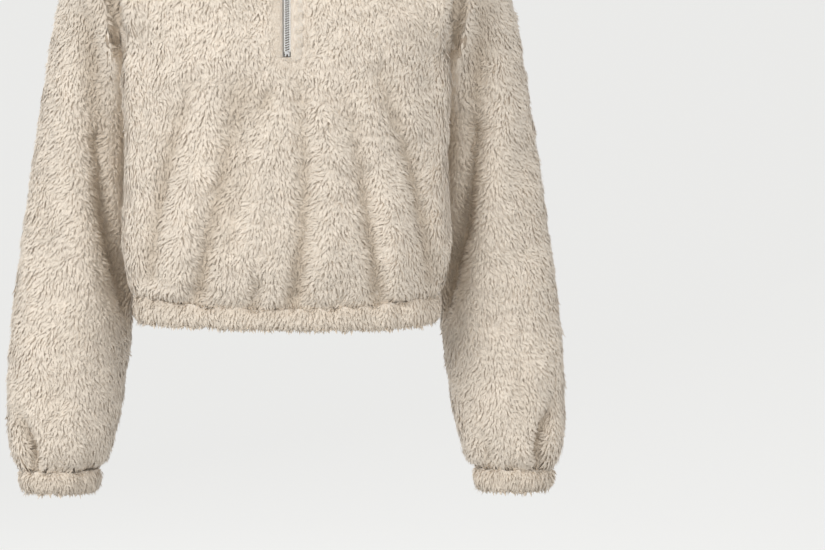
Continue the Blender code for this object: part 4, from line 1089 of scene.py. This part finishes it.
def hem_line(angle, inward):
    """The hem seam, from the centre front round to the wearer's left, moved in by a distance."""
    seam = dict(zip(TORSO_COLUMNS, TORSO_SECTIONS[0]))
    ahead, across = np.cos(angle), np.sin(angle)
    power = 2 / seam["squareness"]
    depth = np.where(ahead >= 0, seam["side_y"] - seam["front_y"], seam["back_y"] - seam["side_y"])
    x = (seam["half_width"] - inward) * np.sign(across) * abs(across) ** power
    y = seam["side_y"] - np.sign(ahead) * (depth - inward) * abs(ahead) ** power
    z = seam["z"] - np.where(ahead >= 0, HEM_DROP[-1], HEM_DROP[1]) * ahead**2
    return np.stack([x, y, z + 0 * inward], -1)


def band_depth(angle):
    """The band is drawn up in the middle of the front and hangs lower towards the sides."""
    ahead, across = np.clip(np.cos(angle), 0, 1), np.sin(angle)
    sides = HEM_SIDE_DROP * across**2 + HEM_TILT * across * ahead
    return HEM_BAND_DEPTH + sides - HEM_MIDDLE_RISE * ahead**4


def casing_panel(line, depth, swell, columns, gather_mm, gather_depth, seed):
    """The outside of a folded strip round a ring, with the gathers that its elastic makes."""
    outline = np.array(CASING_OUTLINE + CASING_OUTLINE[:1])
    places = np.linspace(0, len(outline) - 1, CASING_ROWS)
    spot = along(outline, CASING_COLUMNS, places)
    angle = np.linspace(0, 2 * math.pi, columns)[None, :] * np.ones((CASING_ROWS, 1))
    down = np.clip(spot["down"], 0, 1)[:, None] * np.ones(columns)
    inward = spot["inward"][:, None] - swell * np.sin(math.pi * down)
    points = line(angle, inward)
    points[..., 2] -= CASING_GAP + down * depth(angle)
    rim = points.copy()
    rim[..., 2] = 0
    waves = ripple(rim, gather_mm, seed) * (1 - CASING_GATHER_FADE * down)
    normals = casing_normals(points)
    points = points + normals * (waves * gather_depth)[..., None]
    points[-1] = points[0]
    points[:, -1] = points[:, 0]
    normals = casing_normals(points)
    across = np.gradient(points, axis=0)
    lay = unit(falling(normals) + CASING_TURN_UNDER * unit(across))
    return {"outer": points, "normals": normals, "down": lay, "spot": down}


def casing_normals(points):
    wrapped = np.concatenate([points[-2:-1], points, points[1:2]], axis=0)
    normals = grid_normals(wrapped, closed=True)[1:-1]
    return turned(normals, points - points[:-1].mean(axis=0, keepdims=True))


def make_casing(name, node, panel, size, seed, density, shades):
    """A casing's ground and pile. Its locks carry painted shade by the two shades, all over and at its
    seam.
    """
    skin = panel["outer"] - panel["normals"] * PILE_DEPTH
    cloth = make_ground(
        f"{name}_cloth", skin, panel["normals"], GROUND_STEP, size, closed=True, tube=True
    )
    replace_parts(cloth, node)
    pile = grow_pile(
        f"{name}_pile", skin, panel["normals"], panel["down"], seed, density=density,
        short=between(*CASING_SHORT, smooth(panel["spot"] / CASING_SHORT_SHARE)),
        calm=CASING_CALM,
        shade=shades[0] + shades[1] * (1 - smooth(panel["spot"] / CASING_SHADE_SHARE)),
    )
    return [cloth, pile]


band = casing_panel(
    hem_line, band_depth, HEM_BAND_SWELL, HEM_COLUMNS, HEM_GATHER_MM, HEM_GATHER_DEPTH,
    HEM_SEEDS[0],
)
band_pieces = make_casing(
    "hem", "hem_band", band, HEM_CUT, HEM_SEEDS[1], HEM_DENSITY, HEM_SHADE
)

# The cuffs: the same casings, narrower, on the ends of the sleeves. Each is a strip folded round
# elastic that draws the full sleeve in to the wrist.
CUFF_DEPTH = 26.4
CUFF_SWELL = 1.6
CUFF_COLUMNS = 161
CUFF_GATHER_MM = 12.0
CUFF_GATHER_DEPTH = 1.2
CUFF_CUT = (0.26, 0.06)
CUFF_SEEDS = {"left": (151, 154), "right": (171, 174)}
CUFF_DENSITY = 1.0
# Painted shade on the cuffs' locks: a share all over, and none more at the seam.
CUFF_SHADE = (0.28, 0.0)
CUFF_ROW = dict(zip(SLEEVE_COLUMNS, SLEEVE_SECTIONS[CUFF_SEAM]))


def cuff_line(side):
    middle = (CUFF_ROW["outer_x"] + CUFF_ROW["inner_x"]) / 2
    half = (CUFF_ROW["outer_x"] - CUFF_ROW["inner_x"]) / 2

    def line(angle, inward):
        x = side * (middle + (half - inward) * np.cos(angle))
        y = CUFF_ROW["mid_y"] - (CUFF_ROW["half_depth"] - inward) * np.sin(angle)
        return np.stack([x, y, 0 * x + CUFF_ROW["outer_z"]], -1)

    return line


def cuff_depth(angle):
    return CUFF_DEPTH + 0 * angle


for name, side in (("left", 1), ("right", -1)):
    cuff = casing_panel(
        cuff_line(side), cuff_depth, CUFF_SWELL, CUFF_COLUMNS, CUFF_GATHER_MM, CUFF_GATHER_DEPTH,
        CUFF_SEEDS[name][0],
    )
    sleeve_pieces[name] += make_casing(
        f"cuff_{name}", f"cuff_{name}", cuff, CUFF_CUT, CUFF_SEEDS[name][1], CUFF_DENSITY,
        CUFF_SHADE,
    )

# The collar: a strip of the same fleece that stands up round the neck, open in front for the zip,
# with its lower edge tucked under the neck's. Its pile runs over the top edge, and the knitted
# ground shows inside.
COLLAR_TOP_HALF_WIDTH = 70.0
COLLAR_TOP_Y = 4.0
COLLAR_TOP_DEPTH = {-1: 80.0, 1: 54.0}
COLLAR_TOP_SIDE_Z = 32.0
COLLAR_TOP_RISE = {-1: -54.0, 1: 14.0}
COLLAR_TOP_BEND = 1.3
COLLAR_ROWS = 31
COLLAR_COLUMNS = 261
COLLAR_ROLL_ROWS = 7
COLLAR_TURN_IN = 4.0
COLLAR_TUCK = -0.05
COLLAR_CUT = (0.47, 0.085)
COLLAR_SHORT = (0.55, 0.85)
COLLAR_SEED = 191


def collar_surface(turn, height):
    """The collar's outside. turn runs from the centre front, height from its seam to its top."""
    face = np.where(np.cos(turn) >= 0, -1, 1)
    ahead, across = abs(np.cos(turn)), np.sin(turn)
    x = NECK_HALF_WIDTH * across

    def by_face(values):
        return np.where(face < 0, values[-1], values[1])

    low = np.stack([
        x, NECK_Y + face * by_face(NECK_DEPTH) * ahead, -by_face(NECK_DROP) * ahead**NECK_BEND,
    ], -1)
    high = np.stack([
        COLLAR_TOP_HALF_WIDTH * across,
        COLLAR_TOP_Y + face * by_face(COLLAR_TOP_DEPTH) * ahead,
        COLLAR_TOP_SIDE_Z + by_face(COLLAR_TOP_RISE) * ahead**COLLAR_TOP_BEND,
    ], -1)
    return between(low, high, height[..., None])


collar_start = math.asin(SLIT_HALF_WIDTH / NECK_HALF_WIDTH)
turns = np.linspace(collar_start, 2 * math.pi - collar_start, COLLAR_COLUMNS)
heights = np.linspace(COLLAR_TUCK, 1.0, COLLAR_ROWS)
turn = turns[None, :] * np.ones((COLLAR_ROWS, 1))
collar_outer = collar_surface(turn, heights[:, None] * np.ones(COLLAR_COLUMNS))
collar_normals = turned(grid_normals(collar_outer), collar_outer * (1, 1, 0))
collar_skin = collar_outer - collar_normals * PILE_DEPTH
from_edge = np.minimum(turn - collar_start, turns[-1] - turn) * NECK_HALF_WIDTH
collar_cloth = make_ground(
    "collar_cloth", collar_skin, collar_normals, GROUND_STEP, COLLAR_CUT,
    hole=from_edge <= EDGE_CUT_BACK,
)
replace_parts(collar_cloth, "collar")
top, top_way = collar_skin[-1], unit(collar_normals[-1] * (1, 1, 0))
roll_radius = GROUND_THICKNESS / 2
roll = [
    top - top_way * roll_radius * (1 - math.cos(bend)) + (0, 0, roll_radius * math.sin(bend))
    for bend in np.linspace(0, math.pi, COLLAR_ROLL_ROWS + 1)[1:]
]
roll.append(roll[-1] - (0, 0, COLLAR_TURN_IN))
pile_skin = np.concatenate([collar_skin, roll], axis=0)
pile_normals = turned(grid_normals(pile_skin), pile_skin * (1, 1, 0))
pile_from_edge = np.concatenate([from_edge, np.tile(from_edge[-1], (len(roll), 1))], axis=0)
on_left = np.cos(turns / 2) > 0
edge_wide = np.where(on_left, EDGE_WIDTH[1], EDGE_WIDTH[0]) * np.ones(pile_from_edge.shape)
beside_edge = smooth((pile_from_edge - edge_wide) / EDGE_CALM)
collar_pile = grow_pile(
    "collar_pile", pile_skin, pile_normals, -unit(np.gradient(pile_skin, axis=0)), COLLAR_SEED,
    density=np.where(pile_from_edge < edge_wide - EDGE_LAP, 0.0, 1.0), calm=1 - beside_edge,
    short=between(*COLLAR_SHORT, beside_edge),
)

# The edges of the slit: the fleece is clipped short beside the zip, turned under and stitched down.
# It stands as a narrow roll on the wearer's right and lies flat and broad on the left.
EDGE_COLUMNS = ("out", "height")
EDGE_PROFILES = {
    "roll": [
        (-0.1, -6.9), (-0.12, -6.0), (0.0, -4.8), (0.16, -3.6), (0.42, -3.0), (0.68, -3.3),
        (0.88, -4.2), (1.0, -5.2), (0.9, -6.2), (0.4, -6.9),
    ],
    "flat": [
        (0.0, -6.9), (-0.01, -5.2), (0.05, -3.7), (0.16, -2.9), (0.42, -2.2), (0.72, -1.8),
        (0.92, -2.3), (1.0, -3.9), (0.9, -6.2), (0.4, -6.9),
    ],
}
EDGE_POINTS = 31
EDGE_CORNER = 3.5
EDGE_CORNER_STEPS = 8
EDGE_STEP = 1.6
EDGE_TOP_Z = -84.6
EDGE_FOOT_Z = -205.2
EDGE_RIPPLE_MM = 9.0
EDGE_RIPPLE = 0.35
EDGE_RIPPLE_SEED = 211
EDGE_CUT_WIDTH = 0.03
EDGE_GROUND_STEP = 1
SLIT_EDGE_LENGTH = 0.26
SLIT_EDGE_SEED = 221
COLLAR_EDGE_LENGTH = 0.06
COLLAR_EDGE_SEED = 231
NAP_DENSITY = 2.2
NAP_FACING = 0.25
NAP_CALM = 0.3
NAP_SHORT = 0.34
# Painted shade on the clipped edges: their locks are darkened by this share, and the nap's colours are
# darker than the pile's, since the short, calm nap casts little shade of its own.
NAP_SHADE = 0.35
NAP_COLOURS = {"Dark": (0.60, 0.525, 0.435, 1.0), "Light": (0.72, 0.65, 0.565, 1.0)}

# Clipped fleece: a short, soft nap with faint mottling, in colours darkened as painted shade.
nap_material = make_material("clipped_nap", {
    "Roughness": 0.85, "Sheen Weight": 0.5, "Sheen Tint": SHEEN_TINT,
}, {
    "place": ("ShaderNodeTexCoord", {}),
    "comb": ("ShaderNodeMapping", {"Scale": (1.0, 1.0, 0.4)}),
    "tufts": ("ShaderNodeTexNoise", {"Scale": 420.0, "Detail": 3.0}),
    "patches": ("ShaderNodeTexNoise", {"Scale": 90.0, "Detail": 1.0}),
    "both": ("ShaderNodeMath", {"operation": "MULTIPLY_ADD", 1: 0.6}),
    "tint": two_toned(NAP_COLOURS, 0.45, 0.95),
    "bump": ("ShaderNodeBump", {"Strength": 0.8, "Distance": 0.0011}),
}, [
    "place.Object > comb.Vector", "comb.Vector > tufts.Vector", "comb.Vector > patches.Vector",
    "tufts.Fac > both.0", "patches.Fac > both.2", "both.Value > tint.Pattern",
    "tint.Color > shader.Base Color", "tufts.Fac > bump.Height", "bump.Normal > shader.Normal",
])


def edge_profile(flatness):
    """How far out and how high the turned edge runs, for each share of flatness along it."""
    spots = np.linspace(0, len(EDGE_PROFILES["roll"]), EDGE_POINTS)
    rows = [along(EDGE_PROFILES[kind] + EDGE_PROFILES[kind][:1], EDGE_COLUMNS, spots)
            for kind in ("roll", "flat")]
    return (between(rows[0][key], rows[1][key], flatness[:, None]) for key in EDGE_COLUMNS)


def front_spot(x, z):
    """The front's outside and its normal at places beside the slit."""
    grid = front["outer"]
    heights = grid[:, grid.shape[1] // 2, 2]
    rows = np.interp(z, heights, np.arange(len(heights)))
    columns = np.array([
        np.interp(a, grid[int(r), :, 0], np.arange(grid.shape[1])) for a, r in zip(x, rows)
    ])
    return read_grid(grid, rows, columns), unit(read_grid(front["normals"], rows, columns))


def make_edge(name, points, normals, length, seed):
    """A turned edge, as a closed tube of clipped fleece, and the nap on it."""
    facing = unit(points - points.mean(axis=1, keepdims=True))
    ripples = EDGE_RIPPLE * ripple(points, EDGE_RIPPLE_MM, EDGE_RIPPLE_SEED)
    points = points + normals * ripples[..., None]
    points[:, -1] = points[:, 0]
    piece = make_ground(
        name, points, facing, EDGE_GROUND_STEP, (EDGE_CUT_WIDTH, length), closed=True, tube=True
    )
    bm = bmesh.new()
    bm.from_mesh(piece.data)
    bmesh.ops.holes_fill(bm, edges=[e for e in bm.edges if e.is_boundary], sides=0)
    bmesh.ops.recalc_face_normals(bm, faces=bm.faces)
    bm.to_mesh(piece.data)
    bm.free()
    piece.data.materials.clear()
    piece.data.materials.append(nap_material)
    outside = turned(grid_normals(points, closed=True), facing)
    nap = grow_pile(
        f"{name}_nap", points, outside, falling(outside), seed,
        density=NAP_DENSITY * ((outside * normals).sum(-1) > NAP_FACING),
        calm=NAP_CALM, short=NAP_SHORT, shade=NAP_SHADE,
    )
    return [piece, nap]


side_run = np.arange(EDGE_TOP_Z, EDGE_FOOT_Z + EDGE_CORNER, -EDGE_STEP)
corner = np.linspace(0, math.pi / 2, EDGE_CORNER_STEPS)
half_x = np.concatenate([
    np.full(len(side_run), SLIT_HALF_WIDTH),
    SLIT_HALF_WIDTH - EDGE_CORNER + EDGE_CORNER * np.cos(corner),
])
half_z = np.concatenate([side_run, EDGE_FOOT_Z + EDGE_CORNER * (1 - np.sin(corner))])
half_turn = np.concatenate([np.zeros(len(side_run)), corner])
edge_side = np.repeat((-1, 1), len(half_x))
edge_x = edge_side * np.concatenate([half_x, half_x[::-1]])
edge_z = np.concatenate([half_z, half_z[::-1]])
edge_turn = np.concatenate([half_turn, half_turn[::-1]])
out, height = edge_profile(edge_flatness(edge_x))
out = out * edge_width_at(edge_x, edge_turn)[:, None]
reach_x = edge_x[:, None] + (edge_side * np.cos(edge_turn))[:, None] * out
reach_z = edge_z[:, None] - np.sin(edge_turn)[:, None] * out
spots, spot_normals = (
    values.reshape(out.shape + (3,))
    for values in front_spot(reach_x.ravel(), reach_z.ravel())
)
slit_pieces = make_edge(
    "slit_edge", spots + spot_normals * height[..., None], spot_normals, SLIT_EDGE_LENGTH,
    SLIT_EDGE_SEED,
)
collar_pieces = [collar_pile]
for name, side, flat in (("left", 1, 1.0), ("right", -1, 0.0)):
    out, height = edge_profile(np.full(COLLAR_ROWS, flat))
    out = out * between(*EDGE_WIDTH, flat)
    spots = collar_surface(
        collar_start + out / NECK_HALF_WIDTH, heights[:, None] * np.ones(EDGE_POINTS)
    )
    spot_normals = unit(np.stack([spots[..., 0], spots[..., 1] - NECK_Y, 0 * out], -1))
    mirror = np.array([side, 1, 1])
    collar_pieces += make_edge(
        f"collar_edge_{name}", (spots + spot_normals * height[..., None]) * mirror,
        spot_normals * mirror, COLLAR_EDGE_LENGTH, COLLAR_EDGE_SEED + side,
    )

# The zip: woven cotton tapes with a corded edge, and nickel teeth crimped on the cords, closed from
# the bottom stop up to the slider. The teeth alternate from side to side and hook into each other.
TOOTH_PITCH = 2.6
TOOTH_DEPTH = 2.3
TOOTH_BEVEL = 0.18
TOOTH_OUTLINE = [
    (2.5, 0.56), (1.35, 0.60), (0.85, 0.36), (0.3, 0.36), (-0.3, 0.38), (-0.62, 0.26),
]
TOOTH_LEAN = -0.30
TOOTH_LEAN_X = (1.3, 0.3)
TOOTH_FACING = 0.9
TOOTH_SHARP_DEG = 35.0
CUP_RADIUS = 0.34
CUP_TAPER = 0.6
CUP_DEPTH = 0.3
CUP_SIDES = 6
CUP_X = -0.25
CUP_PROUD = 0.02
PATH_STEP = 0.5
PATH_BLUR_MM = 5.0
CHAIN_X = 0.55
CORD_X = 3.05
CORD_RADIUS = 0.78
CORD_ROUND = 2
CORD_LIFT = 2.8
CORD_STEP = 3.0
TOOTH_LIFT = 2.9
LIFT_AT_SLIDER = 0.4
LIFT_FADE_MM = 30.0
TOOTH_COLOURS = {"Dark": (0.80, 0.80, 0.79, 1.0), "Light": (0.93, 0.93, 0.92, 1.0)}
CASTING_COLOURS = {"Dark": (0.46, 0.46, 0.455, 1.0), "Light": (0.60, 0.60, 0.59, 1.0)}
TAPE_COLOURS = {"Dark": (0.93, 0.925, 0.90, 1.0), "Light": (0.97, 0.97, 0.95, 1.0)}


def make_metal_material(name, colours):
    """Nickel plate: bright, faintly brushed, duller and darker in random patches."""
    return make_material(name, {"Metallic": 1.0}, {
        "place": ("ShaderNodeTexCoord", {}),
        "brush": ("ShaderNodeMapping", {"Scale": (1.0, 1.0, 0.12)}),
        "lines": ("ShaderNodeTexNoise", {"Scale": 2400.0, "Detail": 2.0}),
        "patches": ("ShaderNodeTexNoise", {"Scale": 260.0, "Detail": 2.0}),
        "rough": map_range(0.3, 0.7, 0.36, 0.50),
        "tint": two_toned(colours),
        "bump": ("ShaderNodeBump", {"Strength": 0.15, "Distance": 0.00008}),
    }, [
        "place.Object > brush.Vector", "brush.Vector > lines.Vector",
        "place.Object > patches.Vector", "patches.Fac > rough.Value",
        "rough.Result > shader.Roughness", "patches.Fac > tint.Pattern",
        "tint.Color > shader.Base Color", "lines.Fac > bump.Height", "bump.Normal > shader.Normal",
    ])


tooth_material = make_metal_material("nickel_teeth", TOOTH_COLOURS)
casting_material = make_metal_material("nickel_castings", CASTING_COLOURS)
# Woven tape: a fine twill that slants across it.
tape_material = make_material("woven_tape", {"Roughness": 0.82, "Sheen Weight": 0.15}, {
    "place": ("ShaderNodeTexCoord", {}),
    "slant": ("ShaderNodeMapping", {"Rotation": (0.0, 0.6, 0.0)}),
    "twill": ("ShaderNodeTexWave", {
        "Scale": 420.0, "Distortion": 0.5, "Detail": 1.0, "bands_direction": "Z",
    }),
    "soil": ("ShaderNodeTexNoise", {"Scale": 120.0, "Detail": 2.0}),
    "tint": two_toned(TAPE_COLOURS),
    "bump": ("ShaderNodeBump", {"Strength": 0.5, "Distance": 0.00015}),
}, [
    "place.Object > slant.Vector", "slant.Vector > twill.Vector", "place.Object > soil.Vector",
    "twill.Fac > bump.Height", "soil.Fac > tint.Pattern", "tint.Color > shader.Base Color",
    "bump.Normal > shader.Normal",
])
for side_name in ("left", "right"):
    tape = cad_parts[f"zip_tape_{side_name}"]
    slit_pieces.append(tape)
    for material_slot in tape.material_slots:
        material_slot.material = tape_material


def chain_line():
    """The middle of the closed chain, from its foot up to the slider, read from its solid."""
    corners = np.array([v.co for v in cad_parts["zip_chain"].data.vertices]) / MM
    corners = np.unique(corners.round(3), axis=0)
    corners = corners[np.argsort(corners[:, 2])]
    middles = corners.reshape(-1, 4, 3).mean(axis=1)[:, 1:]
    length = np.concatenate([[0], np.cumsum(np.linalg.norm(np.diff(middles, axis=0), axis=1))])
    fine = np.arange(0, length[-1], PATH_STEP)
    reach = int(PATH_BLUR_MM / PATH_STEP)
    line = []
    for i in range(2):
        row = np.interp(fine, length, middles[:, i])
        ends = (2 * row[0] - row[reach:0:-1], 2 * row[-1] - row[-2:-reach - 2:-1])
        padded = np.concatenate([ends[0], row, ends[1]])
        line.append(np.convolve(padded, np.full(2 * reach + 1, 1 / (2 * reach + 1)), mode="valid"))
    return fine, np.stack(line, axis=-1)


chain_length, chain_places = chain_line()


def chain_lift(length):
    """The chain stands forward in the slit, and runs back into the slider."""
    return between(LIFT_AT_SLIDER, 1.0, smooth((chain_length[-1] - length) / LIFT_FADE_MM))


def chain_at(length):
    return np.stack([np.interp(length, chain_length, chain_places[:, i]) for i in range(2)], -1)


def chain_spot(length):
    """Where the chain is after a length, with its upward way and the way it faces."""
    spot = chain_at(length)
    way = unit(chain_at(length + 1.0) - chain_at(length - 1.0))
    zero = np.zeros(len(way))
    return (
        np.stack([zero, spot[:, 0], spot[:, 1]], -1),
        np.stack([zero, way[:, 0], way[:, 1]], -1),
        np.stack([zero, -way[:, 1], way[:, 0]], -1),
    )


def extrude_outline(bm, corners, way):
    """A solid between a flat outline and the same outline moved along a way."""
    base = bm.faces.new([bm.verts.new(corner) for corner in corners])
    made = bmesh.ops.extrude_face_region(bm, geom=[base])["geom"]
    moved = [item for item in made if isinstance(item, bmesh.types.BMVert)]
    bmesh.ops.translate(bm, vec=way, verts=moved)
    bmesh.ops.recalc_face_normals(bm, faces=bm.faces)


def bevel(bm, edges, offset, segments, clamp=False):
    bmesh.ops.bevel(
        bm, geom=edges, offset=offset, offset_type="OFFSET", segments=segments, profile=0.5,
        affect="EDGES", material=-1, clamp_overlap=clamp,
    )


def one_tooth():
    """A tooth of the left side: legs on the cord, a neck, and a head with a cup."""
    bm = bmesh.new()
    outline = TOOTH_OUTLINE + [(x, -s) for x, s in reversed(TOOTH_OUTLINE)]
    extrude_outline(bm, [(x, s, -TOOTH_DEPTH / 2) for x, s in outline], (0, 0, TOOTH_DEPTH))
    front_face = next(f for f in bm.faces if f.normal.z > TOOTH_FACING)
    bevel(bm, list(front_face.edges), TOOTH_BEVEL, 1)
    bmesh.ops.triangulate(bm, faces=bm.faces)
    cup = bmesh.ops.create_cone(
        bm, cap_ends=True, segments=CUP_SIDES, radius1=CUP_RADIUS, radius2=CUP_RADIUS * CUP_TAPER,
        depth=CUP_DEPTH,
    )["verts"]
    bmesh.ops.translate(bm, vec=(CUP_X, 0, TOOTH_DEPTH / 2 + CUP_PROUD), verts=cup)
    bmesh.ops.triangulate(bm, faces=bm.faces)
    bm.verts.ensure_lookup_table()
    verts = np.array([v.co for v in bm.verts])
    lean_start, lean_end = TOOTH_LEAN_X
    verts[:, 1] += TOOTH_LEAN * np.clip((lean_start - verts[:, 0]) / (lean_start - lean_end), 0, 1)
    faces = np.array([[v.index for v in f.verts] for f in bm.faces])
    bm.free()
    return verts, faces


tooth_verts, tooth_faces = one_tooth()
tooth_count = int((chain_length[-1] - TOOTH_PITCH) / (TOOTH_PITCH / 2))
places = TOOTH_PITCH / 2 * (np.arange(tooth_count) + 1)
middle, upward, outward = chain_spot(places)
side = np.where(np.arange(tooth_count) % 2 == 0, 1.0, -1.0)[:, None, None]
teeth_mesh = stacked_mesh("zip_teeth", (
    middle[:, None]
    + (CHAIN_X + tooth_verts[None, :, 0:1] * side) * np.array([1.0, 0, 0])
    + tooth_verts[None, :, 1:2] * side * upward[:, None]
    + (tooth_verts[None, :, 2:3] + TOOTH_LIFT * chain_lift(places)[:, None, None])
    * outward[:, None]
), tooth_faces)
teeth_mesh.materials.append(tooth_material)
teeth_mesh.shade_smooth()
teeth_mesh.set_sharp_from_angle(angle=math.radians(TOOTH_SHARP_DEG))
teeth = add_piece("zip_teeth", teeth_mesh, "garment")
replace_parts(teeth, "zip_chain")
cord_places = np.arange(0, chain_length[-1], CORD_STEP)
middle, upward, outward = chain_spot(cord_places)
cord_spots = middle + outward * CORD_LIFT * chain_lift(cord_places)[:, None]
for side_name, way in (("left", 1), ("right", -1)):
    cord = bpy.data.curves.new(f"tape_cord_{side_name}", "CURVE")
    cord.dimensions = "3D"
    cord.bevel_depth = CORD_RADIUS * MM
    cord.bevel_resolution = CORD_ROUND
    cord.use_fill_caps = True
    cord.materials.append(tape_material)
    run = cord.splines.new("POLY")
    run.points.add(len(cord_spots) - 1)
    for point, place in zip(run.points, cord_spots):
        point.co = ((CHAIN_X + way * CORD_X) * MM, place[1] * MM, place[2] * MM, 1.0)
    slit_pieces.append(add_piece(f"tape_cord_{side_name}", cord, "garment"))

# The slider, its pull tab and the stops: nickel castings with their edges rounded off. The tab hangs
# from the slider's arch, and the stops are clamped on the cords at both ends.
CASTING_WELD = 0.00001
CASTING_FLAT_DEG = 1.0
CASTING_SHARP_DEG = 25.0
CASTING_SMOOTH_DEG = 40.0
CASTING_BEVEL = 0.22
CASTING_STEPS = 2
PULL_CORNER = 1.3
PULL_STEPS = 4
SLIDER_WAIST = 0.80
SLIDER_WAIST_FROM = 0.7
STOP_OUTLINE = [
    (-2.2, 1.2), (3.3, 1.2), (3.3, -5.0), (1.4, -5.0), (1.4, -2.6), (-0.3, -2.6), (-0.3, -5.0),
    (-2.2, -5.0),
]
STOP_DEPTH = (-1.6, 2.7)


def node_copy(node):
    bm = bmesh.new()
    bm.from_mesh(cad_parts[node].data)
    bmesh.ops.remove_doubles(bm, verts=bm.verts, dist=CASTING_WELD)
    bmesh.ops.dissolve_limit(
        bm, angle_limit=math.radians(CASTING_FLAT_DEG), verts=bm.verts, edges=bm.edges
    )
    return bm


def make_casting(name, node, bm, body):
    """Bevels a casting, dresses it in metal, and shows it in the place of a node."""
    sharp_angle = math.radians(CASTING_SHARP_DEG)
    sharp = [e for e in bm.edges if len(e.link_faces) == 2 and e.calc_face_angle() > sharp_angle]
    bevel(bm, sharp, CASTING_BEVEL * MM, CASTING_STEPS, clamp=True)
    mesh = bpy.data.meshes.new(name)
    bm.to_mesh(mesh)
    bm.free()
    mesh.shade_smooth()
    mesh.set_sharp_from_angle(angle=math.radians(CASTING_SMOOTH_DEG))
    mesh.materials.append(casting_material)
    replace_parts(add_piece(name, mesh, body), node)


bm = node_copy("zip_slider")
low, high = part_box("zip_slider")
for vert in bm.verts:
    if abs(vert.co.x) > SLIDER_WAIST_FROM * high.x:
        vert.co.x *= between(SLIDER_WAIST, 1.0, (vert.co.z - low.z) / (high.z - low.z))
make_casting("slider_body", "zip_slider", bm, "garment")
bm = node_copy("zip_pull")
low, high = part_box("zip_pull")
corners = [
    e for e in bm.edges
    if all(abs(abs(v.co.x) - high.x) < CASTING_WELD for v in e.verts)
    and abs(e.verts[0].co.z - e.verts[1].co.z) < CASTING_WELD
    and abs(e.verts[0].co.x - e.verts[1].co.x) < CASTING_WELD
]
bevel(bm, corners, PULL_CORNER * MM, PULL_STEPS)
make_casting("pull_plate", "zip_pull", bm, "pull_tab")
bm = bmesh.new()
middle, upward, outward = (Vector(v[0]) for v in chain_spot(np.zeros(1)))
extrude_outline(bm, [
    (middle + Vector((x, 0, 0)) + upward * s + outward * STOP_DEPTH[0]) * MM
    for x, s in STOP_OUTLINE
], outward * (STOP_DEPTH[1] - STOP_DEPTH[0]) * MM)
make_casting("bottom_stop", "zip_bottom_stop", bm, "garment")
for side_name in ("left", "right"):
    node = f"zip_top_stop_{side_name}"
    make_casting(f"top_stop_{side_name}", node, node_copy(node), "garment")

low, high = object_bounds()
